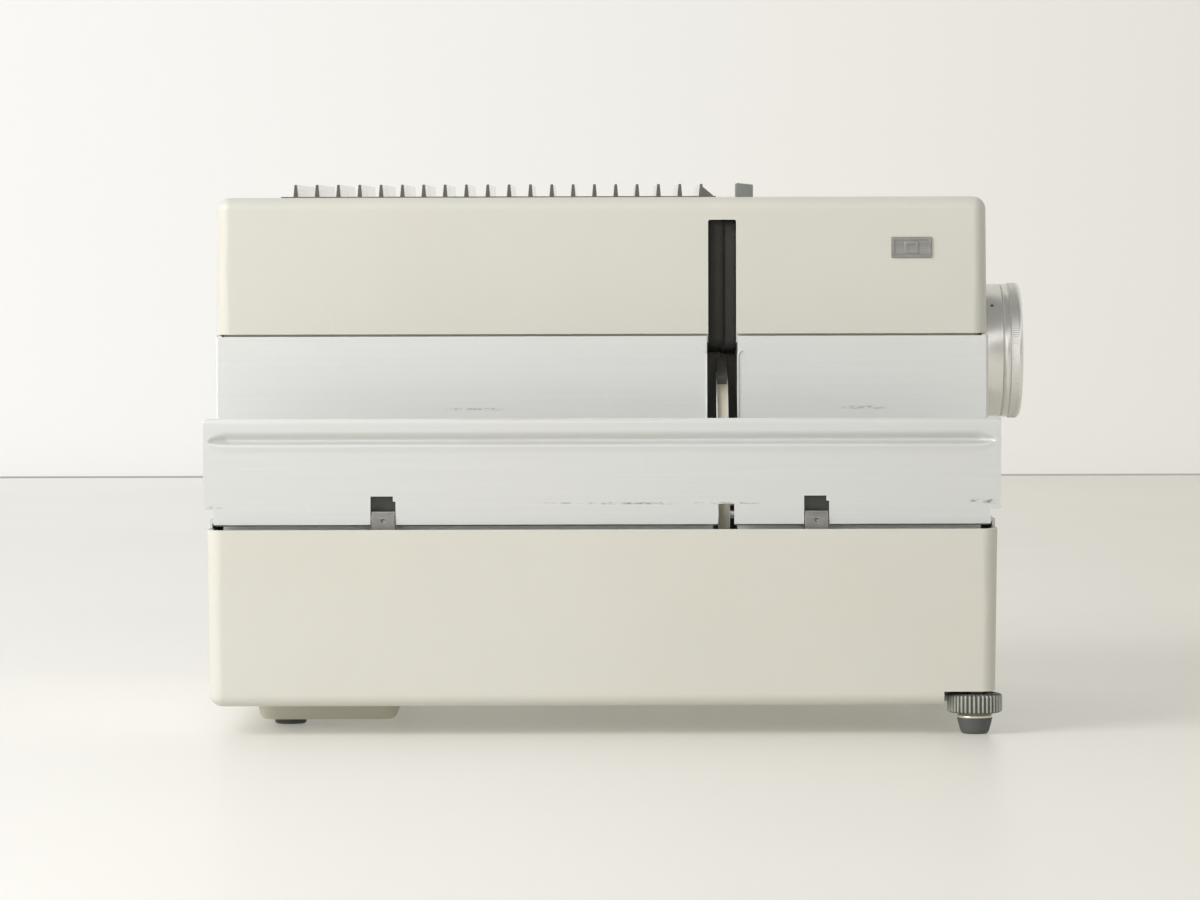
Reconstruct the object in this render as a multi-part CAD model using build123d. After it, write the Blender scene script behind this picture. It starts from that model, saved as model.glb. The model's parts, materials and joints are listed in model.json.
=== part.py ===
from build123d import *
import math
import os

# Slide projector for straight trays. Millimetres, X along the length with the lens end at +X,
# Y across with the tray side at -Y, Z up. Everything is laid out from the middle of the lower
# housing on the plane that the feet stand on, and moved to the bounding box's bottom centre at
# the end.

# ---------------------------------------------------------------- housing
LENGTH = 292.0          # lower housing along X, at its rim
DEPTH = 240.0           # lower housing along Y, at its rim
BASE_Z = 11.0           # underside of the lower housing
RIM_Z = 76.4            # rim under the tray channel
SEAM_Z = 147.0          # joint between the two housings
TOP_Z = 199.0           # top of the upper cover
STEP_Y = -62.8          # where the tall part of the housing starts
WALL = 2.2              # moulded and cast walls
CORNER_R = 6.0
BOTTOM_R = 4.5
COVER_R = 5.5
DRAFT = 0.8
COVER_DRAFT = 0.5
SEAM_GAP = 0.4
FIT = 0.3               # loose clearance between separate pieces
RUN = 0.05              # radial clearance of a running fit
SEAT = 0.03             # radial clearance of a fixed fit

# ---------------------------------------------------------------- tray channel and flap
SHEET = 1.2
CHANNEL_FLOOR_Z = 79.6
CHANNEL_LIP_Y = -109.5
CHANNEL_TOP_Z = 146.5
FLAP_TOP_Z = 117.3
FLAP_BOTTOM_Z = 77.6
FLAP_Y = -115.5         # outer face of the closed flap
FLAP_LENGTH = 294.6
FLAP_EAR_Z = 83.6       # below this the flap is narrower
FLAP_LOWER_LENGTH = 287.0
BEAD_Z = 107.2
BEAD_DEPTH = 2.0
HINGE_Y = -113.2
HINGE_Z = 79.8
HINGE_PIN_R = 1.0
BRACKET_X = (-80.9, 79.2)
BRACKET_WIDTH = 8.5
NOTCH_WIDTH = 9.25

# ---------------------------------------------------------------- slide path and optics
SLOT_X = 45.6           # plane of the slide in the gate
SLOT_WIDTH = 10.6
SLOT_TOP_Z = 190.4
CHUTE_WALL = 1.0
AXIS_Y = -22.0          # optical axis
AXIS_Z = 139.8
GATE_OPENING = 37.0
DECK_Z = 84.0           # top of the chassis deck
DECK = 2.0
LENS_R = 26.0           # front ring of the lens
BARREL_R = LENS_R - 0.4
LENS_FRONT_X = 160.9
LENS_BACK_X = 78.0
SLEEVE_WALL = 3.0
SLEEVE_X = (84.0, 140.0)
LENS_FRONT_GLASS_R = 20.0
LENS_REAR_GLASS_R = 18.0
FOCUS_X = 110.0
FOCUS_PINION_R = 6.0
CONDENSER_R = 24.0
CARRIER_X = (4.0, 34.0)
LAMP_X = -13.0

# ---------------------------------------------------------------- changer
ARM_PIVOT_Y = -95.0
ARM_PIVOT_Z = 40.0
ARM_WIDTH = 4.5
ARM_STRIP = 2.4
MODULE = 1.0
SECTOR_R = 40.0
PINION_R = 8.0
GEAR_X = (50.0, 53.0)
SHAFT_R = 3.0
MOTOR_SHAFT_R = 1.5
MOTOR_R = 15.0
CHEEK_X = (30.0, 62.0)  # near faces of the two mechanism cheeks
CHEEK = 2.0

# ---------------------------------------------------------------- fan
FAN_X = -22.0
FAN_Z = 130.0
FAN_Y = 32.0            # face of the shroud plate away from the lamp
FAN_R = 36.0
FAN_CLEARANCE = 1.5

# ---------------------------------------------------------------- grille and top button
FIN_COUNT = 20
FIN_FIRST_X = -118.2
FIN_LAST_X = 39.5
FIN_Y = (-37.0, 94.0)
FIN_TOP_Z = 204.1
FIN_BASE = 2.6
FIN_TIP = 1.0
BUTTON_X = 54.5
BUTTON_Y = -40.0
BUTTON_WIDTH = 6.35
BUTTON_LENGTH = 20.0
BUTTON_TOP_Z = 204.4

# ---------------------------------------------------------------- feet
LEVEL_X = 137.9
LEVEL_Y = 110.2
LEVEL_WHEEL_R = 10.2
LEVEL_STEM_R = 3.0
LEVEL_CUT_X = 126.1
LEVEL_CUT_Y = 98.5
LEVEL_CUT_Z = 16.2
BUMP_X = (-130.9, -75.9)
BUMP_Y = 80.0
BUMP_Z = 2.6
FOOT_X = -118.3
FOOT_Y = 62.0
FOOT_R = 6.0

# ---------------------------------------------------------------- far side controls
PANEL_X = (-112.0, -8.0)
PANEL_Z = (92.0, 134.0)
PANEL = 2.0
FORWARD_X = -58.0
REVERSE_X = -74.0
BUTTON_ROW_Z = 113.0
PUSH_R = 6.0
SOCKET_X = -95.0
SOCKET_BORE_R = 6.6
ROCKER_X = -28.0
ROCKER_WIDTH = 12.0
ROCKER_AXIS_Y = 115.0
KNOB_R = 14.0
REAR_COVER_Z = 51.7
REAR_COVER_Y = 100.0
REAR_COVER_X = -136.0
REAR_COVER_PROUD = 0.5
INLET_Y = -40.0
INLET_Z = 34.0
POST_X = (-70.0, 134.0)
POST_Y = (-45.0, 80.0)
PLATE_EDGE_X = 34.0      # from the housing's ends to the base plate
PLATE_EDGE_Y = 20.0      # from its sides to the base plate
PLATE_LIP = 5.0          # width of the step that the base plate seats on
PROP_XY = ((-100.0, -50.0), (-126.0, 100.0))

FLOOR_Z = BASE_Z + WALL
HALF = LENGTH / 2
NEAR = -DEPTH / 2
FAR = DEPTH / 2


def block(x0, x1, y0, y1, z0, z1):
    """A rectangular block between two corners."""
    return Pos((x0 + x1) / 2, (y0 + y1) / 2, (z0 + z1) / 2) * Box(x1 - x0, y1 - y0, z1 - z0)


def rod_x(r, x0, x1, y, z):
    """A round bar along X."""
    return Pos((x0 + x1) / 2, y, z) * Rot(0, 90, 0) * Cylinder(r, x1 - x0)


def rod_y(r, y0, y1, x, z):
    """A round bar along Y."""
    return Pos(x, (y0 + y1) / 2, z) * Rot(90, 0, 0) * Cylinder(r, y1 - y0)


def rod_z(r, z0, z1, x, y):
    """A round bar along Z."""
    return Pos(x, y, (z0 + z1) / 2) * Cylinder(r, z1 - z0)


def prism_x(points, x0, x1):
    """A polygon of (y, z) corners, extruded from x0 to x1."""
    return extrude(Plane.YZ.offset(x0) * make_face(Polyline(*points, close=True)), x1 - x0)


def prism_y(points, y0, y1):
    """A polygon of (x, z) corners, extruded from y0 to y1."""
    plane = Plane(origin=(0, y0, 0), x_dir=(1, 0, 0), z_dir=(0, -1, 0))
    return extrude(plane * make_face(Polyline(*points, close=True)), -(y1 - y0))


def gear_face(teeth, module, first=0.0, count=None, hub=0.0):
    """The outline of a spur gear with short straight flanks, or of a part of one."""
    r = teeth * module / 2
    step = 2 * math.pi / teeth
    count = teeth if count is None else count
    root, tip = r - 1.1 * module, r + 0.75 * module
    half_root, half_tip = 0.235 * step, 0.10 * step
    points = []
    for k in range(count):
        middle = first + k * step
        for radius, turn in ((root, -half_root), (tip, -half_tip), (tip, half_tip), (root, half_root)):
            angle = middle + turn
            points.append((radius * math.cos(angle), radius * math.sin(angle)))
    if count < teeth:
        for angle in (first + (count - 0.4) * step, first - 0.6 * step):
            points.append((hub * math.cos(angle), hub * math.sin(angle)))
    return make_face(Polyline(*points, close=True))


# ================================================================ housings
def tub(grow):
    """The drafted block under the rim, grown outwards or shrunk inwards."""
    down = Plane(origin=(0, 0, RIM_Z), x_dir=(1, 0, 0), z_dir=(0, 0, -1))
    outline = RectangleRounded(LENGTH + 2 * grow, DEPTH + 2 * grow, CORNER_R + grow)
    body = extrude(down * outline, amount=RIM_Z - BASE_Z + grow, taper=DRAFT)
    return fillet(body.edges().group_by(Axis.Z)[0], max(BOTTOM_R + grow, 1.0))


def tall(grow):
    """The straight block between the rim and the seam, behind the step."""
    outline = RectangleRounded(LENGTH + 2 * grow, DEPTH + 2 * grow, CORNER_R + grow)
    body = extrude(Pos(0, 0, RIM_Z) * outline, SEAM_Z - RIM_Z)
    return body - block(-LENGTH, LENGTH, 2 * NEAR, STEP_Y, RIM_Z, SEAM_Z + 1)


def lens_hole():
    return rod_x(LENS_R + 1.0, HALF - 8, HALF + 8, AXIS_Y, AXIS_Z)


def rear_opening(clear):
    """The space in the rear end that the compartment cover closes."""
    return block(-HALF - 5, REAR_COVER_X - clear, -REAR_COVER_Y + clear, REAR_COVER_Y - clear,
                 BASE_Z - 5, REAR_COVER_Z - clear)


def level_opening(side):
    """The corner recess that a levelling wheel turns in."""
    y = sorted((side * LEVEL_CUT_Y, side * (FAR + 5)))
    return block(LEVEL_CUT_X, HALF + 5, y[0], y[1], BASE_Z - 3, LEVEL_CUT_Z)


def plate_half(inset):
    """Half length and half width of the base plate, less an inset."""
    return HALF - PLATE_EDGE_X - inset, FAR - PLATE_EDGE_Y - inset


def floor_posts():
    """Places of the wide posts between the floor and the deck."""
    return [(x, y) for x in POST_X for y in POST_Y] + list(PROP_XY)


def on_plate(x, y):
    """Whether a post stands on the base plate and not on the housing's floor."""
    half_x, half_y = plate_half(PLATE_LIP)
    return abs(x) < half_x and abs(y) < half_y


def screw_holes(x, y):
    """Clearance hole and countersink of a floor screw, and the thread hole at the deck."""
    holes = rod_z(1.6, BASE_Z - 1, BASE_Z + 30, x, y)
    holes += rod_z(3.4, BASE_Z - 1, BASE_Z + 1.2, x, y)
    return holes + rod_z(1.6, DECK_Z - 22, DECK_Z, x, y)


def posts_on(plate):
    """The posts of the base plate, or those of the housing's own floor."""
    made = Part()
    for x, y in floor_posts():
        if on_plate(x, y) == plate:
            made += rod_z(4, FLOOR_Z - 0.5, DECK_Z - DECK, x, y)
    for x, y in board_posts():
        if on_plate(x, y) == plate:
            made += rod_z(3, FLOOR_Z - 0.5, 24, x, y)
    return made


def lower_housing():
    body = tub(0) + tall(0)
    body -= tub(-WALL)
    body -= extrude(Pos(0, 0, RIM_Z - 1) * RectangleRounded(LENGTH - 2 * WALL, DEPTH - 2 * WALL,
                                                           CORNER_R - WALL), SEAM_Z)
    half_x, half_y = plate_half(PLATE_LIP)
    body -= block(-half_x, half_x, -half_y, half_y, BASE_Z - 1, FLOOR_Z + 1)
    half_x, half_y = plate_half(0)
    body -= block(-half_x, half_x, -half_y, half_y, BASE_Z - 1, BASE_Z + WALL / 2)
    body += posts_on(False)
    panel = block(-133.5, -132, INLET_Y - 36, INLET_Y + 36, FLOOR_Z - 0.5, 58)
    for y in (INLET_Y - 36, INLET_Y + 34.5):
        panel += block(-132.1, -118, y, y + 1.5, FLOOR_Z - 0.5, 40)
    body += panel - block(-134, -131, INLET_Y - 15.2, INLET_Y + 15.2, INLET_Z - 12.2, INLET_Z + 12.2)
    body -= lens_hole() + rear_opening(0)
    for side in (-1, 1):
        x0, x1 = sorted((side * (HALF + 1), side * (HALF + 0.2 - SHEET - 0.1)))
        body -= block(x0, x1, STEP_Y - 2, STEP_Y - SHEET + 4.2, RIM_Z + 0.1, SEAM_Z - 0.4)
    body -= level_opening(-1) + level_opening(1)
    body -= block(PANEL_X[0] + 6, PANEL_X[1] - 6, FAR - 5, FAR + 5, PANEL_Z[0] + 5, PANEL_Z[1] - 5)
    body -= rod_y(3.0, FAR - 8, FAR + 8, FOCUS_X, focus_axis_z())
    for x in POST_X:
        for y in POST_Y:
            if not on_plate(x, y):
                body -= screw_holes(x, y)
    return body


def base_plate():
    """Floor plate with cooling slots, seated from below in the housing's stepped opening."""
    half_x, half_y = plate_half(0.2)
    body = block(-half_x, half_x, -half_y, half_y, BASE_Z, BASE_Z + WALL / 2)
    body = chamfer(body.edges().group_by(Axis.Z)[0], 0.3)
    half_x, half_y = plate_half(PLATE_LIP + FIT)
    body += block(-half_x, half_x, -half_y, half_y, BASE_Z + WALL / 2 - 0.1, FLOOR_Z)
    body += posts_on(True)
    for x in (-100, 100):
        body += block(x - 1.5, x + 1.5, -half_y + 1, -68, FLOOR_Z - 0.5, CHANNEL_FLOOR_Z - SHEET)
    for k in (0, 1, 2, 3, 5, 6, 7, 8):
        x = -20 + 12 * k
        body -= block(x - 2, x + 2, 36, 88, BASE_Z - 3, FLOOR_Z + 3)
    for x in POST_X:
        for y in POST_Y:
            if on_plate(x, y):
                body -= screw_holes(x, y)
    for y in (-FOOT_Y, FOOT_Y):
        body -= rod_z(1.6, BASE_Z - 1, FLOOR_Z + 1, (BUMP_X[0] + BUMP_X[1]) / 2, y)
    return body


def cover_block(grow, bottom):
    """The upper cover's drafted block, grown outwards or shrunk inwards."""
    length = LENGTH - 0.3 + 2 * grow
    depth = FAR - STEP_Y + SHEET + 2 * grow
    middle = (FAR + STEP_Y - SHEET) / 2
    outline = RectangleRounded(length, depth, COVER_R + grow)
    body = extrude(Pos(0, middle, bottom) * outline, amount=TOP_Z + grow - bottom, taper=COVER_DRAFT)
    return fillet(body.edges().group_by(Axis.Z)[-1], COVER_R + grow - 0.6)


def seam_lip():
    """A ring inside the seam that centres the cover on the lower housing."""
    low, seat = SEAM_Z - 3, SEAM_Z + SEAM_GAP
    middle = (FAR + STEP_Y) / 2
    span = FAR - STEP_Y
    outside = LENGTH - 2 * WALL - 0.6
    ring = extrude(Pos(0, middle - 0.9, low) * RectangleRounded(outside, span - WALL - 0.6 - 1.2, 3), 6)
    ring += extrude(Pos(0, middle - 0.6, seat) * RectangleRounded(outside + 1.6, span - WALL, 3.5), 3)
    ring -= extrude(Pos(0, middle - 0.9, low - 1) * RectangleRounded(outside - 3, span - WALL - 4.2, 2), 9)
    return ring


def cover_posts():
    """Where the cover's long posts stand on the deck."""
    beside_lens = AXIS_Y - LENS_R - SLEEVE_WALL - 4.5
    return [(-134, -54), (-134, 108), (134, beside_lens), (134, 108)]


def upper_cover():
    bottom = SEAM_Z + SEAM_GAP
    body = cover_block(0, bottom) - cover_block(-WALL, bottom - 0.01)
    body += seam_lip()
    for x, y in cover_posts():
        body += rod_z(3.2, DECK_Z, TOP_Z - 1.5, x, y) - rod_z(1.6, DECK_Z - 1, DECK_Z + 14, x, y)
    body -= slot_cut()
    body -= lens_hole() + rod_x(LENS_R + SLEEVE_WALL + 1, HALF - 12, HALF - WALL + 0.4, AXIS_Y, AXIS_Z)
    body -= block(FIN_FIRST_X - 2.5, FIN_LAST_X + 2.5, FIN_Y[0] - 2, FIN_Y[1] + 2, TOP_Z - 6, TOP_Z + 2)
    body -= block(BUTTON_X - BUTTON_WIDTH / 2 - FIT, BUTTON_X + BUTTON_WIDTH / 2 + FIT,
                  BUTTON_Y - BUTTON_LENGTH / 2 - FIT, BUTTON_Y + BUTTON_LENGTH / 2 + FIT,
                  TOP_Z - 6, TOP_Z + 2)
    body -= badge_block(0.1, 3.0)
    return body


def slot_cut():
    """The tall slot for the slide and the changer arm, through the cover's near wall."""
    y0, y1 = STEP_Y - SHEET - 3, STEP_Y + 6
    cut = block(SLOT_X - SLOT_WIDTH / 2, SLOT_X + SLOT_WIDTH / 2, y0, y1, SEAM_Z - 6, SLOT_TOP_Z)
    return fillet(cut.edges().filter_by(Axis.Y).group_by(Axis.Z)[-1], 0.8)


def badge_block(grow, out):
    """A small flat plate on the near face of the cover."""
    return block(117.2 - 7.5 - grow, 117.2 + 7.5 + grow, STEP_Y - SHEET - 0.4 - out, STEP_Y - 0.5,
                 179.8 - 3.8 - grow, 179.8 + 3.8 + grow)


def badge():
    """Plate with the raised outline of a slide frame, open in the middle."""
    plate = badge_block(0, 0)
    face = STEP_Y - SHEET - 0.4
    plate -= block(110.7, 123.7, face - 1, face + 0.35, 177.0, 182.6)
    frame = block(114.6, 119.8, face, face + 0.5, 177.5, 182.1)
    return plate + (frame - block(115.8, 118.6, face - 1, face + 0.36, 178.5, 181.1))


def bottom_cover():
    """Shallow drafted pan under the housing that carries the rear feet."""
    x0, x1 = BUMP_X
    middle = (x0 + x1) / 2
    down = Plane(origin=(middle, 0, BASE_Z), x_dir=(1, 0, 0), z_dir=(0, 0, -1))
    depth = BASE_Z - BUMP_Z
    body = extrude(down * RectangleRounded(x1 - x0, 2 * BUMP_Y, 8), amount=depth, taper=14)
    body = fillet(body.edges().group_by(Axis.Z)[0], 2.5)
    inside = extrude(down * RectangleRounded(x1 - x0 - 4, 2 * BUMP_Y - 4, 6), amount=depth - 2, taper=14)
    body -= inside
    for y in (-FOOT_Y, FOOT_Y):
        body += rod_z(4, BUMP_Z + 1, BASE_Z, middle, y)
        body -= rod_z(1.5, BUMP_Z - 1, BASE_Z + 1, middle, y)
        body -= rod_z(2.2 + SEAT, BUMP_Z - 1, BUMP_Z + 5, FOOT_X, y)
    return body


def rear_feet():
    feet = []
    for y in (-FOOT_Y, FOOT_Y):
        foot = rod_z(FOOT_R, 0, BUMP_Z, FOOT_X, y)
        foot = fillet(foot.edges().group_by(Axis.Z)[0], 1.0)
        feet.append(foot + rod_z(2.2, BUMP_Z - 0.1, BUMP_Z + 3.2, FOOT_X, y))
    return feet


def rear_cover():
    """Pull-off cover of the mains compartment, wrapping round the bottom edge."""
    skin = tub(REAR_COVER_PROUD) - tub(-1.5)
    cover = skin & rear_opening(FIT)
    pull = rod_y(7, -12, 12, -HALF - 5.6, 44)
    return cover - pull


def level_brackets():
    """A raised steel plate and threaded bush over each levelling wheel."""
    made = []
    for side in (-1, 1):
        y = side * LEVEL_Y
        y0, y1 = sorted((side * 90.0, side * 114.5))
        low, high = LEVEL_CUT_Z + 0.2, LEVEL_CUT_Z + 2.2
        plate = block(119, 141, y0, y1, low, high)
        leg0, leg1 = sorted((side * 90.0, side * 96.0))
        plate += block(119, 138, leg0, leg1, FLOOR_Z, low + 0.1)
        plate += block(119, 125, *sorted((side * 90.0, side * 113.0)), FLOOR_Z, low + 0.1)
        bush = rod_z(6, high - 0.1, 31, LEVEL_X, y)
        plate += bush & block(110, 141, *sorted((side * 90.0, side * 115.0)), 0, 50)
        made.append(plate - rod_z(LEVEL_STEM_R + RUN, 0, 60, LEVEL_X, y))
    return made


def level_wheel(side):
    """Knurled hand wheel and its threaded stem."""
    y = side * LEVEL_Y
    ribs = 38
    points = []
    for k in range(ribs):
        for radius, turn in ((LEVEL_WHEEL_R - 0.7, -0.28), (LEVEL_WHEEL_R, -0.14), (LEVEL_WHEEL_R, 0.14),
                             (LEVEL_WHEEL_R - 0.7, 0.28)):
            angle = 2 * math.pi * (k + turn) / ribs
            points.append((LEVEL_X + radius * math.cos(angle), y + radius * math.sin(angle)))
    wheel = extrude(Pos(0, 0, 7.8) * make_face(Polyline(*points, close=True)), 7.3)
    return wheel + rod_z(LEVEL_STEM_R, 15, 34, LEVEL_X, y)


def level_pad(side):
    """Rubber pad under a light metal collar."""
    y = side * LEVEL_Y
    collar = rod_z(6.65, 6.0, 7.75, LEVEL_X, y)
    pad = Pos(LEVEL_X, y, 3.0) * Cone(5.0, 6.65, 6.0)
    return collar + pad


# ================================================================ tray channel and flap
def tray_channel():
    """One bent sheet: upright wall, floor, turned-down near lip and pinion ears."""
    half = HALF + 0.2
    wall_y = STEP_Y - SHEET
    floor_low = CHANNEL_FLOOR_Z - SHEET
    body = block(-half, half, wall_y, STEP_Y, floor_low, CHANNEL_TOP_Z)
    body += block(-half + 0.7, half - 0.7, CHANNEL_LIP_Y, STEP_Y, floor_low, CHANNEL_FLOOR_Z)
    body += block(-half + 6, half - 6, CHANNEL_LIP_Y, CHANNEL_LIP_Y + SHEET, 68, CHANNEL_FLOOR_Z)
    for side in (-1, 1):
        x0, x1 = sorted((side * half, side * (half - SHEET)))
        body += block(x0, x1, wall_y, wall_y + 4, RIM_Z + 0.2, CHANNEL_TOP_Z)
        x2, x3 = sorted((side * (half - 0.7), side * (half - 1.9)))
        body += block(x2, x3, CHANNEL_LIP_Y, STEP_Y, RIM_Z + 0.1, CHANNEL_FLOOR_Z)
    corners = body.edges().filter_by(Axis.Z).filter_by_position(Axis.Y, wall_y - 0.01, wall_y + 0.01)
    body = fillet([e for e in corners if abs(abs(e.center().X) - half) < 0.01], 1.1)
    slot = SLOT_WIDTH / 2 + 0.5
    body -= block(SLOT_X - slot, SLOT_X + slot, wall_y - 1, STEP_Y + 1, CHANNEL_FLOOR_Z + 0.6,
                  CHANNEL_TOP_Z + 1)
    body -= block(SLOT_X - 4.5, SLOT_X + 4.5, CHANNEL_LIP_Y - 1, -82, 60, CHANNEL_FLOOR_Z + 1)
    for y in (-84.4, -73.2):
        ear = block(4, 16, y, y + SHEET, 66.5, floor_low + 0.2)
        body += ear
    body -= block(-1.5, 21.5, -82.5, -74, floor_low - 1, CHANNEL_FLOOR_Z + 1)
    body -= rod_y(1.5 + RUN, -90, -65, 10, 72)
    return body


def transport_pinion():
    """Toothed wheel that moves the tray along, on its own short axle."""
    face = gear_face(14, 1.3)
    wheel = extrude(Plane(origin=(10, -80.8, 72), x_dir=(1, 0, 0), z_dir=(0, -1, 0)) * face, -5.2)
    return wheel + rod_y(1.5, -86.5, -70.5, 10, 72)


def flap_brackets():
    """Two bent steel tabs on the channel's lip, each curled round a hinge pin."""
    made = []
    lip = CHANNEL_LIP_Y
    for x in BRACKET_X:
        x0, x1 = x - BRACKET_WIDTH / 2, x + BRACKET_WIDTH / 2
        front = HINGE_Y - 1.5 - SHEET
        tab = block(x0, x1, lip - SHEET, lip, 68.5, 77.4)
        tab += block(x0, x1, front, lip, 76.2, 77.4)
        outline = [(front, 76.2), (front, 80.4), (front + 1.1, 82.9), (front + 2.3, 82.9),
                   (front + SHEET, 80.4), (front + SHEET, 76.2)]
        tab += prism_x(outline, x0, x1)
        tab += rod_x(2.0, x0, x1, HINGE_Y, HINGE_Z)
        tab -= rod_x(HINGE_PIN_R + SEAT, x0 - 1, x1 + 1, HINGE_Y, HINGE_Z)
        tab -= Pos(x, front - 0.3, 79.6) * Sphere(0.9)
        made.append(tab)
    return made


def flap_hinge_pins():
    length = NOTCH_WIDTH / 2 + 2.2
    return [rod_x(HINGE_PIN_R, x - length, x + length, HINGE_Y, HINGE_Z) for x in BRACKET_X]


def bead(x0, x1):
    """The guide groove pressed into the flap, standing proud on its inner face."""
    y, t, d, z = FLAP_Y, SHEET, BEAD_DEPTH, BEAD_Z
    outline = [(y, z + 4.4), (y + d, z + 1.0), (y + d, z - 1.2), (y + 0.2, z - 3.4), (y, z - 4.2),
               (y + t, z - 4.2), (y + t + 0.2, z - 3.9), (y + d + t, z - 1.9), (y + d + t, z + 1.6),
               (y + t, z + 4.8), (y, z + 4.8)]
    return prism_x(outline, x0, x1)


def tray_flap():
    """Folding outer wall of the tray channel, with its hinge ears."""
    half, low = FLAP_LENGTH / 2, FLAP_LOWER_LENGTH / 2
    inner = FLAP_Y + SHEET
    body = block(-half, half, FLAP_Y, inner, FLAP_EAR_Z, FLAP_TOP_Z)
    body = fillet(body.edges().filter_by(Axis.Y), 1.5)
    body += block(-low, low, FLAP_Y, inner, FLAP_BOTTOM_Z, FLAP_EAR_Z + 4)
    groove = 145.2
    body -= block(-groove, groove, FLAP_Y - 1, inner + 1, BEAD_Z - 4.2, BEAD_Z + 4.8)
    body += bead(-groove - 0.6, groove + 0.6)
    for x in BRACKET_X:
        half_notch = NOTCH_WIDTH / 2
        notch = block(x - half_notch, x + half_notch, FLAP_Y - 2, inner + 5, 70, 88.6)
        notch -= block(x + half_notch - 1.0, x + half_notch + 1, FLAP_Y - 3, inner + 6, 86.7, 90)
        body -= notch
    body -= block(SLOT_X - 2.8, SLOT_X + 3.2, FLAP_Y - 2, inner + 5, 70, 85.6)
    for x in BRACKET_X:
        for side in (-1, 1):
            x0, x1 = sorted((x + side * (NOTCH_WIDTH / 2 + 0.03), x + side * (NOTCH_WIDTH / 2 + 1.23)))
            ear = rod_x(2.0, x0, x1, HINGE_Y, HINGE_Z)
            ear += block(x0, x1, inner - 0.2, HINGE_Y, HINGE_Z - 1.9, HINGE_Z + 2.0)
            body += ear
    for x in BRACKET_X:
        body -= rod_x(HINGE_PIN_R + RUN, x - 12, x + 12, HINGE_Y, HINGE_Z)
    return body


# ================================================================ slide path
def slide_chute():
    """Black box behind the slot, with runners for the slide and a window on each side."""
    x0, x1 = SLOT_X - SLOT_WIDTH / 2, SLOT_X + SLOT_WIDTH / 2
    y0, y1 = STEP_Y + 2.6, 10.0
    top = 192.0
    body = block(x0 - CHUTE_WALL, x1 + CHUTE_WALL, y0, y1, DECK_Z, top)
    body -= block(x0, x1, y0 - 1, y1 - CHUTE_WALL, DECK_Z + 1.5, top - CHUTE_WALL)
    body += block(x0, x1, -50, y1, AXIS_Z - 27.2, AXIS_Z - 25.2)
    body += block(x0, x1, -50, y1, AXIS_Z + 25.2, AXIS_Z + 27.2)
    body += block(x0, x1, 3.2, 4.4, AXIS_Z - 26, AXIS_Z + 26)
    half = GATE_OPENING / 2
    body -= block(x0 - 3, x1 + 3, AXIS_Y - half, AXIS_Y + half, AXIS_Z - half, AXIS_Z + half)
    for y in (AXIS_Y - 21, AXIS_Y + 21):
        for z in (AXIS_Z - 18, AXIS_Z + 18):
            body -= rod_x(0.8 + RUN, x0 - 3, x0 + 1, y, z)
    lug = block(x1 + CHUTE_WALL - 0.1, x1 + 9.0, BUTTON_Y - 6, BUTTON_Y + 6, 184, 190)
    body += lug - rod_z(1.5 + RUN, 180, 192, BUTTON_X + 1.3, BUTTON_Y)
    return body


def gate_plate():
    """Thin plate with the picture opening, on the lens side of the chute."""
    x1 = SLOT_X + SLOT_WIDTH / 2
    plate = block(x1 - 1.0, x1 - 0.02, AXIS_Y - 24.5, AXIS_Y + 24.5, AXIS_Z - 24.9, AXIS_Z + 24.9)
    plate -= block(x1 - 3, x1 + 3, AXIS_Y - 17.5, AXIS_Y + 17.5, AXIS_Z - 17.5, AXIS_Z + 17.5)
    return plate


def pressure_frame():
    """Sprung frame that holds the slide flat, guided by four pins."""
    x0 = SLOT_X - SLOT_WIDTH / 2
    frame = block(x0 + 2.0, x0 + 2.9, AXIS_Y - 23.5, AXIS_Y + 23.5, AXIS_Z - 22, AXIS_Z + 22)
    frame -= block(x0, x0 + 4, AXIS_Y - 18, AXIS_Y + 18, AXIS_Z - 16.5, AXIS_Z + 16.5)
    for y in (AXIS_Y - 21, AXIS_Y + 21):
        for z in (AXIS_Z - 18, AXIS_Z + 18):
            frame += rod_x(0.8, x0 - 2.6, x0 + 2.1, y, z)
    return frame


def top_button():
    """Slanted push button in the cover's top, with a flange and a guide stem."""
    x0, x1 = BUTTON_X - BUTTON_WIDTH / 2, BUTTON_X + BUTTON_WIDTH / 2
    y0, y1 = BUTTON_Y - BUTTON_LENGTH / 2, BUTTON_Y + BUTTON_LENGTH / 2
    cap = prism_y([(x0, 194.6), (x0, BUTTON_TOP_Z), (x1, BUTTON_TOP_Z - 0.7), (x1, 194.6)], y0, y1)
    cap = fillet(cap.edges().group_by(Axis.Z)[-1], 0.5)
    clear = SLOT_X + SLOT_WIDTH / 2 + CHUTE_WALL + FIT
    cap += block(clear, x1 + 1, y0 - 1, y1 + 1, 193, 194.7)
    return cap + rod_z(1.5, 180.5, 193.2, BUTTON_X + 1.3, BUTTON_Y)


# ================================================================ deck and optics
def chassis_deck():
    body = block(-140, 140, STEP_Y + 2.6, 113, DECK_Z - DECK, DECK_Z)
    for x in POST_X:
        for y in POST_Y:
            body -= rod_z(1.6, 70, 90, x, y)
    for x, y in cover_posts():
        body -= rod_z(1.6, 70, 90, x, y)
    body -= block(-60, -46, -40, 90, 70, 90)
    body -= block(60, 78, 20, 100, 70, 90)
    body -= block(-104, -84, 34, 70, 70, 90)
    return body


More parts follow.
